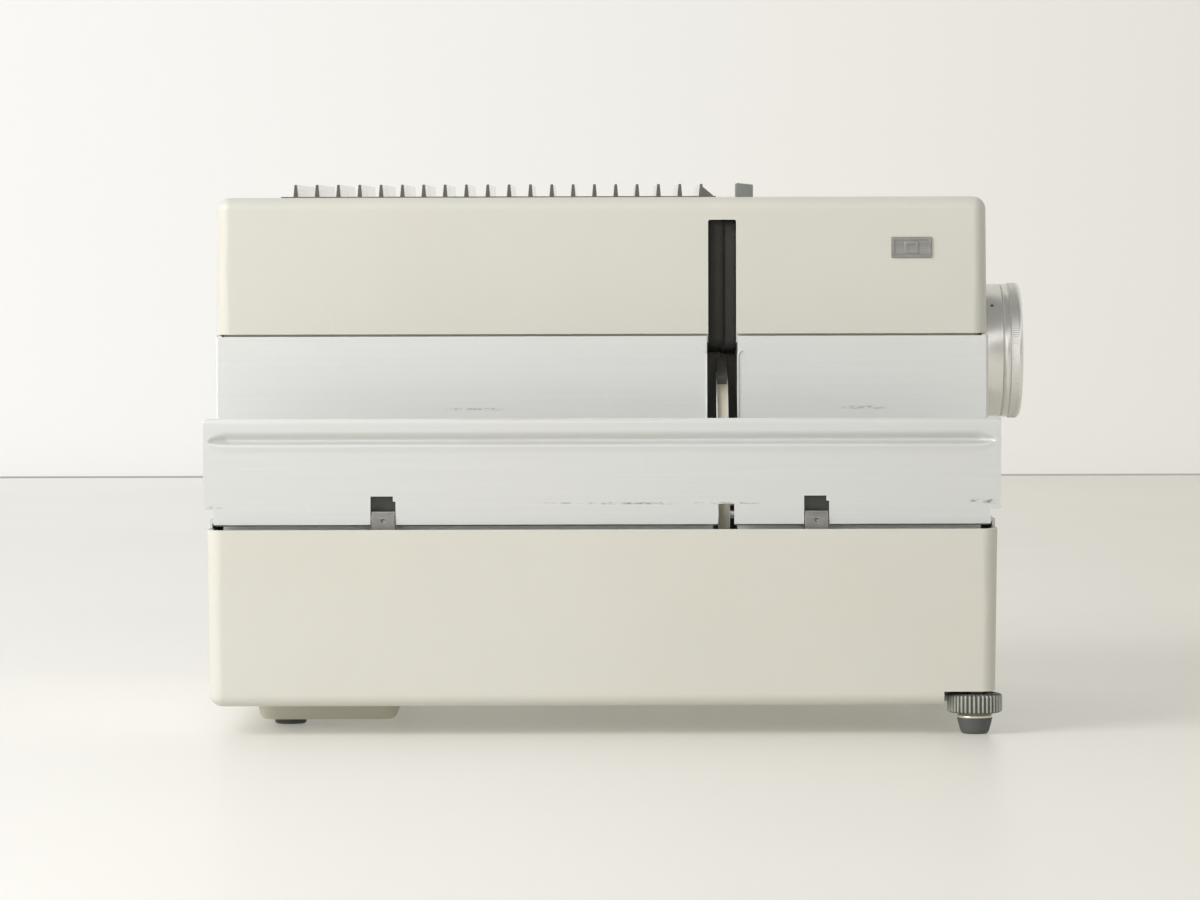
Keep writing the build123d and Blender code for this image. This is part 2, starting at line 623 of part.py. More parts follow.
def lens_sleeve():
    """Guide tube of the lens on two cheeks, slotted underneath for the focus rack."""
    x0, x1 = SLEEVE_X
    body = rod_x(LENS_R + SLEEVE_WALL, x0, x1, AXIS_Y, AXIS_Z)
    for side in (-1, 1):
        y0, y1 = sorted((AXIS_Y + side * 14, AXIS_Y + side * 18))
        body += block(x0 + 4, x1 - 12, y0, y1, DECK_Z, AXIS_Z - LENS_R + 3.6)
        y2, y3 = sorted((AXIS_Y + side * 14, AXIS_Y + side * 24))
        body += block(x0 + 4, x1 - 12, y2, y3, DECK_Z, DECK_Z + 3)
    body -= rod_x(BARREL_R + RUN, x0 - 1, x1 + 1, AXIS_Y, AXIS_Z)
    body -= block(x0 - 1, x1 + 1, AXIS_Y - 5, AXIS_Y + 5, AXIS_Z - LENS_R - 8, AXIS_Z - LENS_R + 4)
    body -= rod_y(2.5 + RUN, AXIS_Y - 30, AXIS_Y + 30, FOCUS_X, focus_axis_z())
    return body


def lens_barrel():
    ring_back = LENS_FRONT_X - 7.5
    body = rod_x(BARREL_R, LENS_BACK_X, ring_back, AXIS_Y, AXIS_Z)
    body -= rod_x(16, LENS_BACK_X - 1, ring_back + 1, AXIS_Y, AXIS_Z)
    body -= rod_x(LENS_REAR_GLASS_R + SEAT, LENS_BACK_X - 1, LENS_BACK_X + 8, AXIS_Y, AXIS_Z)
    body -= rod_x(LENS_FRONT_GLASS_R + SEAT, ring_back - 6, ring_back + 1, AXIS_Y, AXIS_Z)
    return body


def lens_front_ring():
    back = LENS_FRONT_X - 7.5
    ring = rod_x(LENS_R, back + 0.02, LENS_FRONT_X, AXIS_Y, AXIS_Z)
    ring = chamfer(ring.edges().group_by(Axis.X)[-1], 1.6)
    return ring - rod_x(LENS_FRONT_GLASS_R - 0.8, back - 1, LENS_FRONT_X + 1, AXIS_Y, AXIS_Z)


def glass_disc(r, x, thick, bulge, way=1):
    """A round lens with one flat face at x and one domed or hollow face, towards +X or -X."""
    ball = (r * r + bulge * bulge) / (2 * abs(bulge))
    if bulge > 0:
        dome = Pos(x + way * (thick + bulge - ball), AXIS_Y, AXIS_Z) * Rot(0, 90 * way, 0) * Sphere(ball)
        return rod_x(r, *sorted((x, x + way * (thick + bulge + 1))), AXIS_Y, AXIS_Z) & dome
    hollow = Pos(x + thick + bulge + ball, AXIS_Y, AXIS_Z) * Rot(0, -90, 0) * Sphere(ball)
    return rod_x(r, x, x + thick, AXIS_Y, AXIS_Z) - hollow


def lens_front_glass():
    back = LENS_FRONT_X - 7.5
    return glass_disc(LENS_FRONT_GLASS_R, back - 5.9, 2.5, 2.6)


def lens_rear_glass():
    return glass_disc(LENS_REAR_GLASS_R, LENS_BACK_X + 3.2, 4.7, -2.0)


def focus_axis_z():
    """Height of the focus pinion under the rack."""
    return AXIS_Z - BARREL_R - 3.4 - 0.3 - FOCUS_PINION_R


def focus_rack():
    """Toothed bar along the underside of the barrel."""
    pitch = math.pi * MODULE
    line = AXIS_Z - BARREL_R - 3.4
    points = [(89, line + 3.5), (89, line + 1.1)]
    k = -6
    while k <= 7:
        middle = FOCUS_X + (k - 0.5) * pitch
        for turn, drop in ((-0.235, 1.1), (-0.10, -0.75), (0.10, -0.75), (0.235, 1.1)):
            points.append((middle + turn * pitch, line + drop))
        k += 1
    points += [(134, line + 1.1), (134, line + 3.5)]
    bar = prism_y(points, AXIS_Y - 3, AXIS_Y + 3)
    return bar - rod_x(BARREL_R + 0.01, 80, 140, AXIS_Y, AXIS_Z)


def focus_shaft():
    z = focus_axis_z()
    face = gear_face(12, MODULE, first=math.pi / 2)
    plane = Plane(origin=(FOCUS_X, AXIS_Y - 3, z), x_dir=(1, 0, 0), z_dir=(0, -1, 0))
    pinion = extrude(plane * face, -6)
    return pinion + rod_y(2.5, AXIS_Y - 20, FAR + 8, FOCUS_X, z)


def focus_knob():
    """Ribbed knob on the far side, on the end of the focus shaft."""
    z = focus_axis_z()
    ribs = 24
    points = []
    for k in range(ribs):
        for radius, turn in ((KNOB_R - 0.8, -0.25), (KNOB_R, -0.12), (KNOB_R, 0.12), (KNOB_R - 0.8, 0.25)):
            angle = 2 * math.pi * (k + turn) / ribs
            points.append((radius * math.cos(angle), radius * math.sin(angle)))
    plane = Plane(origin=(FOCUS_X, FAR + 1, z), x_dir=(1, 0, 0), z_dir=(0, -1, 0))
    knob = extrude(plane * make_face(Polyline(*points, close=True)), -12)
    return knob - rod_y(2.5 + SEAT, FAR, FAR + 8.02, FOCUS_X, z)


def condenser_carrier():
    x0, x1 = CARRIER_X
    y0, y1 = AXIS_Y - 28, AXIS_Y + 28
    body = block(x0, x1, y0, y1, DECK_Z, AXIS_Z + 28)
    body -= rod_x(CONDENSER_R - 3, x0 - 1, x1 + 1, AXIS_Y, AXIS_Z)
    body -= rod_x(CONDENSER_R + SEAT, x0 + 2, x1 - 2, AXIS_Y, AXIS_Z)
    body -= block(x0 - 1, x1 + 1, AXIS_Y - 13, AXIS_Y + 13, DECK_Z + 4, AXIS_Z - CONDENSER_R - 4)
    return body


def condenser_lenses():
    x0, x1 = CARRIER_X
    rear = glass_disc(CONDENSER_R, x0 + 2.02, 2.5, 6.0)
    front = glass_disc(CONDENSER_R, x1 - 2.02, 2.5, 6.0, way=-1)
    return [rear, front]


def heat_filter():
    middle = sum(CARRIER_X) / 2
    return rod_x(CONDENSER_R, middle - 1.5, middle + 1.5, AXIS_Y, AXIS_Z)


def lamp_socket():
    body = rod_z(13, DECK_Z, 106, LAMP_X, AXIS_Y)
    for side in (-1, 1):
        body -= rod_z(1.0 + SEAT, 98, 107, LAMP_X, AXIS_Y + 4 * side)
    return body


def lamp():
    """Projection lamp: tall glass envelope on a ceramic base with two pins."""
    low = 106.05
    body = rod_z(9, low, low + 9, LAMP_X, AXIS_Y)
    body += Pos(LAMP_X, AXIS_Y, low + 11) * Cone(9, 11, 4)
    body += rod_z(11, low + 12.9, AXIS_Z + 10, LAMP_X, AXIS_Y)
    body += Pos(LAMP_X, AXIS_Y, AXIS_Z + 10) * Sphere(11)
    for side in (-1, 1):
        body += rod_z(1.0, 99, low + 0.5, LAMP_X, AXIS_Y + 4 * side)
    return body


def reflector_mirror():
    """Concave mirror behind the lamp, on a pillar from the deck."""
    dish = rod_x(23, -40, -30, AXIS_Y, AXIS_Z)
    dish -= Pos(-8, AXIS_Y, AXIS_Z) * Rot(0, -90, 0) * Sphere(30)
    dish += rod_z(3, DECK_Z, AXIS_Z - 21.5, -36.5, AXIS_Y)
    return dish


def lamp_house():
    """Sheet metal hood round the lamp, open at the top and towards the fan."""
    body = block(-52, 2, -56, 16, DECK_Z, 172) - block(-51, 1, -55, 15, DECK_Z - 1, 173)
    body -= rod_x(21, -3, 5, AXIS_Y, AXIS_Z)
    body -= block(-46, -4, 10, 20, 96, 168)
    for z in (100, 112, 124, 136, 148, 160):
        body -= block(-40, -10, -60, -50, z, z + 4)
    return body


# ================================================================ fan
def fan_shroud():
    """Plate and ring round the fan, with a three-armed carrier for its motor."""
    r = FAN_R + FAN_CLEARANCE
    body = block(FAN_X - 40, FAN_X + 40, FAN_Y - 2, FAN_Y, DECK_Z, 172)
    body += rod_y(r + 2, FAN_Y - 2, FAN_Y + 20, FAN_X, FAN_Z)
    body += block(FAN_X - 40, FAN_X + 40, FAN_Y - 2, FAN_Y + 20, DECK_Z, DECK_Z + 2)
    body += block(FAN_X - 3, FAN_X + 3, FAN_Y, FAN_Y + 20, DECK_Z, FAN_Z - r)
    body -= rod_y(r, FAN_Y - 3, FAN_Y + 25, FAN_X, FAN_Z)
    spider = rod_y(15, FAN_Y + 19.5, FAN_Y + 22, FAN_X, FAN_Z)
    for k in range(3):
        arm = Pos(0, 0, (r + 1) / 2) * Box(6, 2.5, r + 1)
        spider += Pos(FAN_X, FAN_Y + 20.75, FAN_Z) * Rot(0, 120 * k, 0) * arm
    body += spider + (rod_y(r + 2, FAN_Y + 19, FAN_Y + 22, FAN_X, FAN_Z)
                      - rod_y(r, FAN_Y + 18, FAN_Y + 23, FAN_X, FAN_Z))
    return body - rod_y(2.5, FAN_Y + 10, FAN_Y + 30, FAN_X, FAN_Z)


def fan_rotor():
    """Hub with seven pitched blades and the shaft that enters the motor."""
    y0, y1 = FAN_Y + 2, FAN_Y + 16
    body = rod_y(10, y0, y1, FAN_X, FAN_Z)
    for k in range(7):
        blade = Pos(0, 0, (8 + FAN_R - 1) / 2) * Rot(0, 0, 35) * Box(16, 1.4, FAN_R - 1 - 8)
        body += Pos(FAN_X, (y0 + y1) / 2, FAN_Z) * Rot(0, 360 * k / 7, 0) * blade
    return body + rod_y(MOTOR_SHAFT_R, y1 - 1, FAN_Y + 32, FAN_X, FAN_Z)


def fan_motor():
    y0 = FAN_Y + 22
    body = rod_y(14.5, y0, y0 + 30, FAN_X, FAN_Z)
    body = fillet(body.edges().group_by(Axis.Y)[-1], 2.0)
    return body - rod_y(MOTOR_SHAFT_R + RUN, y0 - 1, y0 + 11, FAN_X, FAN_Z)


# ================================================================ changer mechanism
def mechanism_bracket():
    """Two steel cheeks on a base plate that carry the arm shaft and the motor."""
    made = block(CHEEK_X[0], CHEEK_X[1] + CHEEK, -104, -30, FLOOR_Z, FLOOR_Z + 1.8)
    for x in CHEEK_X:
        made += block(x, x + CHEEK, -104, -30, FLOOR_Z, 58)
    made -= rod_x(SHAFT_R + RUN, CHEEK_X[0] - 1, CHEEK_X[1] + CHEEK + 1, ARM_PIVOT_Y, ARM_PIVOT_Z)
    made -= rod_x(4.0, CHEEK_X[1] - 1, CHEEK_X[1] + CHEEK + 1, pinion_y(), ARM_PIVOT_Z)
    made -= block(CHEEK_X[0] - 1, CHEEK_X[0] + 5, -80, -40, 26, 50)
    return made


def pinion_y():
    return ARM_PIVOT_Y + SECTOR_R + PINION_R + 0.3


def drive_motor():
    x0 = CHEEK_X[1] + CHEEK
    body = rod_x(MOTOR_R, x0, x0 + 36, pinion_y(), ARM_PIVOT_Z)
    body = fillet(body.edges().group_by(Axis.X)[-1], 2.0)
    body += rod_x(3.8, x0 - CHEEK, x0 + 1, pinion_y(), ARM_PIVOT_Z)
    return body - rod_x(MOTOR_SHAFT_R + RUN, x0 - 5, x0 + 11, pinion_y(), ARM_PIVOT_Z)


def drive_pinion():
    teeth = round(2 * PINION_R / MODULE)
    face = gear_face(teeth, MODULE)
    plane = Plane(origin=(GEAR_X[0], pinion_y(), ARM_PIVOT_Z), x_dir=(0, 1, 0), z_dir=(1, 0, 0))
    return extrude(plane * face, GEAR_X[1] - GEAR_X[0]) + rod_x(
        MOTOR_SHAFT_R, GEAR_X[0] - 2, CHEEK_X[1] + CHEEK + 10, pinion_y(), ARM_PIVOT_Z)


def arm_sector():
    """Toothed sector on the arm shaft, driven by the motor pinion."""
    teeth = round(2 * SECTOR_R / MODULE)
    step = 2 * math.pi / teeth
    face = gear_face(teeth, MODULE, first=-7.5 * step, count=10, hub=4.0)
    plane = Plane(origin=(GEAR_X[0], ARM_PIVOT_Y, ARM_PIVOT_Z), x_dir=(0, 1, 0), z_dir=(1, 0, 0))
    body = extrude(plane * face, GEAR_X[1] - GEAR_X[0])
    body += rod_x(7, 48.2, 55, ARM_PIVOT_Y, ARM_PIVOT_Z)
    return body - rod_x(SHAFT_R + SEAT, 40, 60, ARM_PIVOT_Y, ARM_PIVOT_Z)


def arm_shaft():
    return rod_x(SHAFT_R, CHEEK_X[0] - 2, CHEEK_X[1] + CHEEK + 2, ARM_PIVOT_Y, ARM_PIVOT_Z)


def arm_path():
    """Bends of the changer arm, from its shaft to the finger's seat."""
    return [(ARM_PIVOT_Y, ARM_PIVOT_Z), (-94, 62), (-88, 82), (-64, 122), (-53, 132.4)]


def changer_arm():
    """Bent strip that carries the slide out of the tray and back."""
    x0 = SLOT_X - ARM_WIDTH / 2
    strip = trace(Polyline(*arm_path()), ARM_STRIP)
    body = extrude(Plane.YZ.offset(x0) * strip, ARM_WIDTH)
    body += rod_x(6.5, x0, x0 + ARM_WIDTH, ARM_PIVOT_Y, ARM_PIVOT_Z)
    body -= rod_x(SHAFT_R + SEAT, x0 - 1, x0 + ARM_WIDTH + 1, ARM_PIVOT_Y, ARM_PIVOT_Z)
    return body - arm_finger_shape(0.02)


def arm_finger_shape(grow):
    """The finger's outline: a seat round the strip's end and a narrow tip."""
    x0 = SLOT_X - 1.9 - grow
    points = [(-56.6, 127.4), (-46.6, 136.6), (-47.2, 139.0), (-49.0, 139.2), (-58.4, 130.8)]
    return prism_x(points, x0, SLOT_X + 1.9 + grow)


def arm_finger():
    return arm_finger_shape(0)


# ================================================================ electrics
def transformer_core():
    body = block(-125, -65, 36, 66, FLOOR_Z + 2, 66)
    body += block(-128, -62, 42, 60, FLOOR_Z, FLOOR_Z + 3)
    for x in (-115, -85):
        body -= block(x, x + 10, 30, 70, 26, 55)
    return body


def transformer_coils():
    body = block(-114.6, -75.4, 26, 76, 26.4, 54.6)
    return body - block(-105.2, -84.8, 35.8, 66.2, 20, 60)


def board_posts():
    return [(x, y) for x in (-36, 16) for y in (24, 102)]


def circuit_boards():
    """The relay board over the floor, and the board behind the control panel."""
    return [block(-42, 22, 18, 108, 24, 25.6), control_board()]


def board_components():
    """Relays, capacitors and a fuse clip that stand on the board."""
    parts = [block(-34, -12, 36, 52, 25.6, 43), block(-34, -12, 56, 72, 25.6, 43)]
    for k in range(3):
        parts.append(rod_z(6, 25.6, 47, 4, 36 + 18 * k))
    parts.append(block(-30, -6, 84, 92, 25.6, 34))
    for k in range(4):
        parts.append(block(-6 + 6 * k, -3 + 6 * k, 84, 94, 25.6, 38))
    return parts


def mains_inlet():
    """Appliance inlet in the compartment, with three contact pins."""
    x = -133.5
    body = block(x - 1.5, x - 0.02, INLET_Y - 18, INLET_Y + 18, INLET_Z - 14, INLET_Z + 14)
    body += block(x - 0.1, x + 18, INLET_Y - 15, INLET_Y + 15, INLET_Z - 12, INLET_Z + 12)
    body -= block(x - 3, x + 14, INLET_Y - 12, INLET_Y + 12, INLET_Z - 9.5, INLET_Z + 9.5)
    for dy, dz in ((-7, -2), (0, 2), (7, -2)):
        body += block(x, x + 15, INLET_Y + dy - 1, INLET_Y + dy + 1, INLET_Z + dz - 1.5, INLET_Z + dz + 1.5)
    return body


# ================================================================ far side controls
def control_panel():
    """Plate on the far side with pockets for the buttons, the socket and the rocker."""
    x0, x1 = PANEL_X
    z0, z1 = PANEL_Z
    body = block(x0, x1, FAR + 0.02, FAR + PANEL, z0, z1)
    body = fillet(body.edges().filter_by(Axis.Y), 4)
    body = chamfer(body.faces().sort_by(Axis.Y)[-1].edges(), 0.6)
    for x in (x0 + 10, x1 - 10):
        for z in (z0 + 9, z1 - 9):
            body += rod_y(2.5, 109.6, FAR + 1, x, z)
    side = ROCKER_WIDTH / 2 + FIT
    shell = block(ROCKER_X - side - 1.5, ROCKER_X + side + 1.5, 103.5, FAR + 3.0,
                  BUTTON_ROW_Z - 12, BUTTON_ROW_Z + 12)
    body += shell
    body -= block(ROCKER_X - side, ROCKER_X + side, 105, FAR + 6, BUTTON_ROW_Z - 10.2, BUTTON_ROW_Z + 10.2)
    body -= rod_x(1.5 + RUN, ROCKER_X - side - 2, ROCKER_X + side + 2, ROCKER_AXIS_Y, BUTTON_ROW_Z)
    for x in (FORWARD_X, REVERSE_X):
        body -= rod_y(PUSH_R + FIT, FAR - 5, FAR + 6, x, BUTTON_ROW_Z)
    return body - rod_y(9.5 + SEAT, FAR - 5, FAR + 6, SOCKET_X, BUTTON_ROW_Z)


def control_board():
    """Board behind the panel, with the two push switches."""
    body = block(PANEL_X[0] + 7, PANEL_X[1] - 7, 108, 109.58, PANEL_Z[0] + 6, PANEL_Z[1] - 6)
    side = ROCKER_WIDTH / 2 + 2.4
    body -= block(ROCKER_X - side, ROCKER_X + side, 100, 112, BUTTON_ROW_Z - 12.6, BUTTON_ROW_Z + 12.6)
    for x in (FORWARD_X, REVERSE_X):
        body += block(x - 5, x + 5, 109, 113, BUTTON_ROW_Z - 5, BUTTON_ROW_Z + 5)
    return body


def push_button(x):
    """Round button with a retaining flange behind the panel."""
    cap = rod_y(PUSH_R, FAR - 3, FAR + 6.5, x, BUTTON_ROW_Z)
    cap = fillet(cap.edges().group_by(Axis.Y)[-1], 1.0)
    cap += rod_y(PUSH_R + 1.2, FAR - 2.6, FAR - 0.6, x, BUTTON_ROW_Z)
    return cap + rod_y(2, FAR - 4.5, FAR - 2, x, BUTTON_ROW_Z)


def remote_socket():
    body = rod_y(9.5, 109.7, FAR + 3.5, SOCKET_X, BUTTON_ROW_Z)
    body -= rod_y(SOCKET_BORE_R, 113, FAR + 5, SOCKET_X, BUTTON_ROW_Z)
    for k in range(5):
        angle = math.radians(-90 + 45 * (k - 2))
        body -= rod_y(0.7, 111, 114, SOCKET_X + 4.2 * math.cos(angle), BUTTON_ROW_Z + 4.2 * math.sin(angle))
    return body


def power_rocker():
    """Rocker of the mains switch, tilted to its off side, with its pivot pin."""
    half = ROCKER_WIDTH / 2
    turn = Pos(0, ROCKER_AXIS_Y, BUTTON_ROW_Z) * Rot(-9, 0, 0)
    outline = [(-4, -5), (-4, 5), (3, 8.4), (8.2, 8.2), (6.6, 0), (8.2, -8.2), (3, -8.4)]
    body = extrude(Plane.YZ.offset(-half) * make_face(Polyline(*outline, close=True)), 2 * half)
    body = Pos(ROCKER_X, 0, 0) * turn * body
    return body + rod_x(1.5, ROCKER_X - half - 1.7, ROCKER_X + half + 1.7, ROCKER_AXIS_Y, BUTTON_ROW_Z)


# ================================================================ grille and screws
def louvre_grille():
    """Frame of the fins, with cross bars under them and a gusset beside the last one."""
    y0, y1 = FIN_Y
    x0, x1 = FIN_FIRST_X, FIN_LAST_X
    body = block(x0 - 2.2, x1 + 2.2, y0 - 1.7, y1 + 1.7, 193, TOP_Z + 0.5)
    body += block(x0 - 4.2, x1 + 4.2, y0 - 3.4, y1 + 3.4, TOP_Z + 0.02, TOP_Z + 0.5)
    body -= block(x0, x1, y0, y1, 190, TOP_Z + 2)
    for k in range(3):
        y = y0 + (y1 - y0) * (k + 1) / 4
        body += block(x0 - 1, x1 + 1, y - 1, y + 1, 193.2, 195.2)
    gusset = prism_y([(x1 - 1.9, 197), (x1 - 1.5, FIN_TOP_Z - 0.4), (x1 + 3.6, TOP_Z + 0.4),
                      (x1 + 2.1, TOP_Z + 0.1), (x1 + 2.1, 197)], y0 - 1.6, y0)
    return body + gusset


def louvre_fins():
    """Upright fins between the frame's long rails, on the cross bars."""
    y0, y1 = FIN_Y
    pitch = (FIN_LAST_X - FIN_FIRST_X - FIN_BASE) / (FIN_COUNT - 1)
    drop = (FIN_BASE - FIN_TIP) / 2
    fins = []
    for k in range(FIN_COUNT):
        x = FIN_FIRST_X + pitch * k
        fins.append(prism_y([(x, 195.2), (x + drop, FIN_TOP_Z), (x + drop + FIN_TIP, FIN_TOP_Z),
                             (x + FIN_BASE, 195.2)], y0, y1))
    return fins


def case_screws():
    """Pan-head screws: four under the housing, eight through the deck, two in the bottom cover."""
    made = []
    for x in POST_X:
        for y in POST_Y:
            made.append(rod_z(1.5, BASE_Z + 1, BASE_Z + 28, x, y) + rod_z(3.0, BASE_Z - 0.4, BASE_Z + 1.2, x, y))
            made.append(rod_z(1.5, DECK_Z - 20, DECK_Z + 1, x, y) + rod_z(3.0, DECK_Z, DECK_Z + 1.8, x, y))
    for x, y in cover_posts():
        made.append(rod_z(1.5, DECK_Z - DECK - 1, DECK_Z + 12, x, y)
                    + rod_z(3.0, DECK_Z - DECK - 1.8, DECK_Z - DECK, x, y))
    middle = sum(BUMP_X) / 2
    for y in (-FOOT_Y, FOOT_Y):
        made.append(rod_z(1.45, BUMP_Z + 0.1, FLOOR_Z + 1.2, middle, y) + rod_z(2.6, BUMP_Z - 1.0, BUMP_Z, middle, y)
                    + rod_z(1.45, BUMP_Z - 0.5, BUMP_Z + 0.5, middle, y))
    return made


NODES = {
    "lower_housing": lower_housing,
    "base_plate": base_plate,
    "upper_cover": upper_cover,
    "bottom_cover": bottom_cover,
    "rear_cover": rear_cover,
    "badge": badge,
    "tray_channel": tray_channel,
    "transport_pinion": transport_pinion,
    "flap_brackets": flap_brackets,
    "flap_hinge_pins": flap_hinge_pins,
    "tray_flap": tray_flap,
    "slide_chute": slide_chute,
    "gate_plate": gate_plate,
    "pressure_frame": pressure_frame,
    "top_button": top_button,
    "chassis_deck": chassis_deck,
    "lens_sleeve": lens_sleeve,
    "lens_barrel": lens_barrel,
    "lens_front_ring": lens_front_ring,
    "lens_front_glass": lens_front_glass,
    "lens_rear_glass": lens_rear_glass,
    "focus_rack": focus_rack,
    "focus_shaft": focus_shaft,
    "focus_knob": focus_knob,
    "condenser_carrier": condenser_carrier,
    "condenser_lenses": condenser_lenses,
    "heat_filter": heat_filter,
    "lamp": lamp,
    "lamp_socket": lamp_socket,
    "reflector_mirror": reflector_mirror,
    "lamp_house": lamp_house,
    "fan_shroud": fan_shroud,
    "fan_rotor": fan_rotor,
    "fan_motor": fan_motor,
    "mechanism_bracket": mechanism_bracket,
    "drive_motor": drive_motor,
    "drive_pinion": drive_pinion,
    "arm_shaft": arm_shaft,
    "arm_sector": arm_sector,
    "changer_arm": changer_arm,
    "arm_finger": arm_finger,
    "transformer_core": transformer_core,
    "transformer_coils": transformer_coils,
    "circuit_boards": circuit_boards,
    "board_components": board_components,
    "mains_inlet": mains_inlet,
    "control_panel": control_panel,
    "forward_button": lambda: push_button(FORWARD_X),
    "reverse_button": lambda: push_button(REVERSE_X),
    "remote_socket": remote_socket,
    "power_rocker": power_rocker,
    "louvre_grille": louvre_grille,
    "louvre_fins": louvre_fins,
    "level_brackets": level_brackets,
    "level_wheel_near": lambda: level_wheel(-1),
    "level_wheel_far": lambda: level_wheel(1),
    "level_pad_near": lambda: level_pad(-1),
    "level_pad_far": lambda: level_pad(1),
    "rear_feet": rear_feet,
    "case_screws": case_screws,
}


def solids_of(shape):
    """Every separate solid of one node."""
    if isinstance(shape, (list, tuple)):
        return [solid for piece in shape for solid in piece.solids()]
    return list(shape.solids())


def build():
    """All nodes, moved so that the origin is the bottom centre of the bounding box."""
    made = {name: Compound(solids_of(make())) for name, make in NODES.items()}
    whole = Compound([shape for shape in made.values()]).bounding_box()
    shift = (-(whole.min.X + whole.max.X) / 2, -(whole.min.Y + whole.max.Y) / 2, -whole.min.Z)
    return {name: Pos(*shift) * shape for name, shape in made.items()}, shift


if __name__ == "__main__":
    os.makedirs("parts", exist_ok=True)
    shapes, moved = build()
    for name, shape in shapes.items():
        export_step(shape, f"parts/{name}.step")
    print("nodes", len(shapes), "shift", [round(value, 3) for value in moved])
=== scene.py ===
import json
import math

import bmesh
import bpy
from mathutils import Matrix, Vector


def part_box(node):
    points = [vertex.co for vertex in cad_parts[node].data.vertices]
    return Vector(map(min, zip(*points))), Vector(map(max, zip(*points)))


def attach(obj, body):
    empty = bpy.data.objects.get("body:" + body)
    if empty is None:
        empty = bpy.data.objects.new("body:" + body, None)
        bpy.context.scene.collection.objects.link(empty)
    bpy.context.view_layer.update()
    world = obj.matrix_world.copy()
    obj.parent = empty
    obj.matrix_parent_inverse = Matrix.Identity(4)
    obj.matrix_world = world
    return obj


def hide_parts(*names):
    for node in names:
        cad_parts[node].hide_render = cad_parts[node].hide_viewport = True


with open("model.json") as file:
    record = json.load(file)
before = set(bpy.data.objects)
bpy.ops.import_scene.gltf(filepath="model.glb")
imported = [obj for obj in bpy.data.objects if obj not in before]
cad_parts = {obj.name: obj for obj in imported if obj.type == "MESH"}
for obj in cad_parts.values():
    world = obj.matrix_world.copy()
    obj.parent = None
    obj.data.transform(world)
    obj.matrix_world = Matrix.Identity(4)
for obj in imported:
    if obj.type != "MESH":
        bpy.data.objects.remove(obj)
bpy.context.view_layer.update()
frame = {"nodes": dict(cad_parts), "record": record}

MM = 0.001
FLOAT, VECTOR, COLOUR = "NodeSocketFloat", "NodeSocketVector", "NodeSocketColor"
HINGE_SIDES = (-80.9, 79.2)     # middles of the flap's two hinges along X
HINGE_Y, HINGE_Z = -113.2, 79.8
SLOT_X = 45.6                   # middle of the slide slot along X
CHANGER_NOTCH = (42.8, 48.8)    # sides of the flap's notch for the changer arm along X
CHANNEL_FACE_Y = -64.3          # face of the tray channel's upright wall
ARM_PIVOT = (-95, 40)           # Y and Z of the changer arm's shaft
LENS_AXIS_YZ = (-22.0, 139.8)
nodes = frame["nodes"]
slot_of = {part["node"]: part["material_slot"] for part in frame["record"]["subparts"]}
case_low, case_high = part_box("lower_housing")
case_x = (case_low.x + case_high.x) / 2
case_y = (case_low.y + case_high.y) / 2


def at(x, y, z):
    """A point given in millimetres from the middle of the lower housing, as the frame's metres."""
    return Vector((case_x + x * MM, case_y + y * MM, z * MM))


def middle(node):
    low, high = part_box(node)
    return (low + high) / 2


# ---------------------------------------------------------------- shared effects
def effect(name, inputs, outputs):
    """A new node group with its named sockets: the group, what it is given, what it gives, and the place."""
    group = bpy.data.node_groups.new(name, "ShaderNodeTree")
    for label, kind, value in inputs:
        socket = group.interface.new_socket(label, in_out="INPUT", socket_type=kind)
        socket.default_value = value
    for label, kind in outputs:
        group.interface.new_socket(label, in_out="OUTPUT", socket_type=kind)
    place = group.nodes.new("ShaderNodeTexCoord").outputs["Object"]
    return group, group.nodes.new("NodeGroupInput").outputs, group.nodes.new("NodeGroupOutput").inputs, place


def wire(tree, *pairs):
    for source, target in pairs:
        tree.links.new(source, target)


def sums(tree, operation, first, second=None, third=None, clamp=False):
    """A maths node. Each value is a socket or a number."""
    node = tree.nodes.new("ShaderNodeMath")
    node.operation = operation
    node.use_clamp = clamp
    for socket, value in zip(node.inputs, (first, second, third)):
        if value is None:
            continue
        if isinstance(value, (int, float)):
            socket.default_value = value
        else:
            tree.links.new(value, socket)
    return node.outputs[0]


def product(tree, *values, clamp=False):
    """All the values multiplied together."""
    result = values[0]
    for k, value in enumerate(values[1:], 2):
        result = sums(tree, "MULTIPLY", result, value, clamp=clamp and k == len(values))
    return result


def distances(tree, place, middle):
    """How far a place lies from a middle along X, Y and Z."""
    away = tree.nodes.new("ShaderNodeVectorMath")
    away.operation = "SUBTRACT"
    part = tree.nodes.new("ShaderNodeSeparateXYZ")
    wire(tree, (place, away.inputs[0]), (middle, away.inputs[1]), (away.outputs["Vector"], part.inputs[0]))
    return part.outputs


def ramp(tree, value, low, high, to_low=0.0, to_high=1.0):
    """A smooth step of a value from one range to another."""
    node = tree.nodes.new("ShaderNodeMapRange")
    node.interpolation_type = "SMOOTHSTEP"
    tree.links.new(value, node.inputs["Value"])
    for label, number in (("From Min", low), ("From Max", high), ("To Min", to_low), ("To Max", to_high)):
        if isinstance(number, (int, float)):
            node.inputs[label].default_value = number
        else:
            tree.links.new(number, node.inputs[label])
    return node.outputs["Result"]


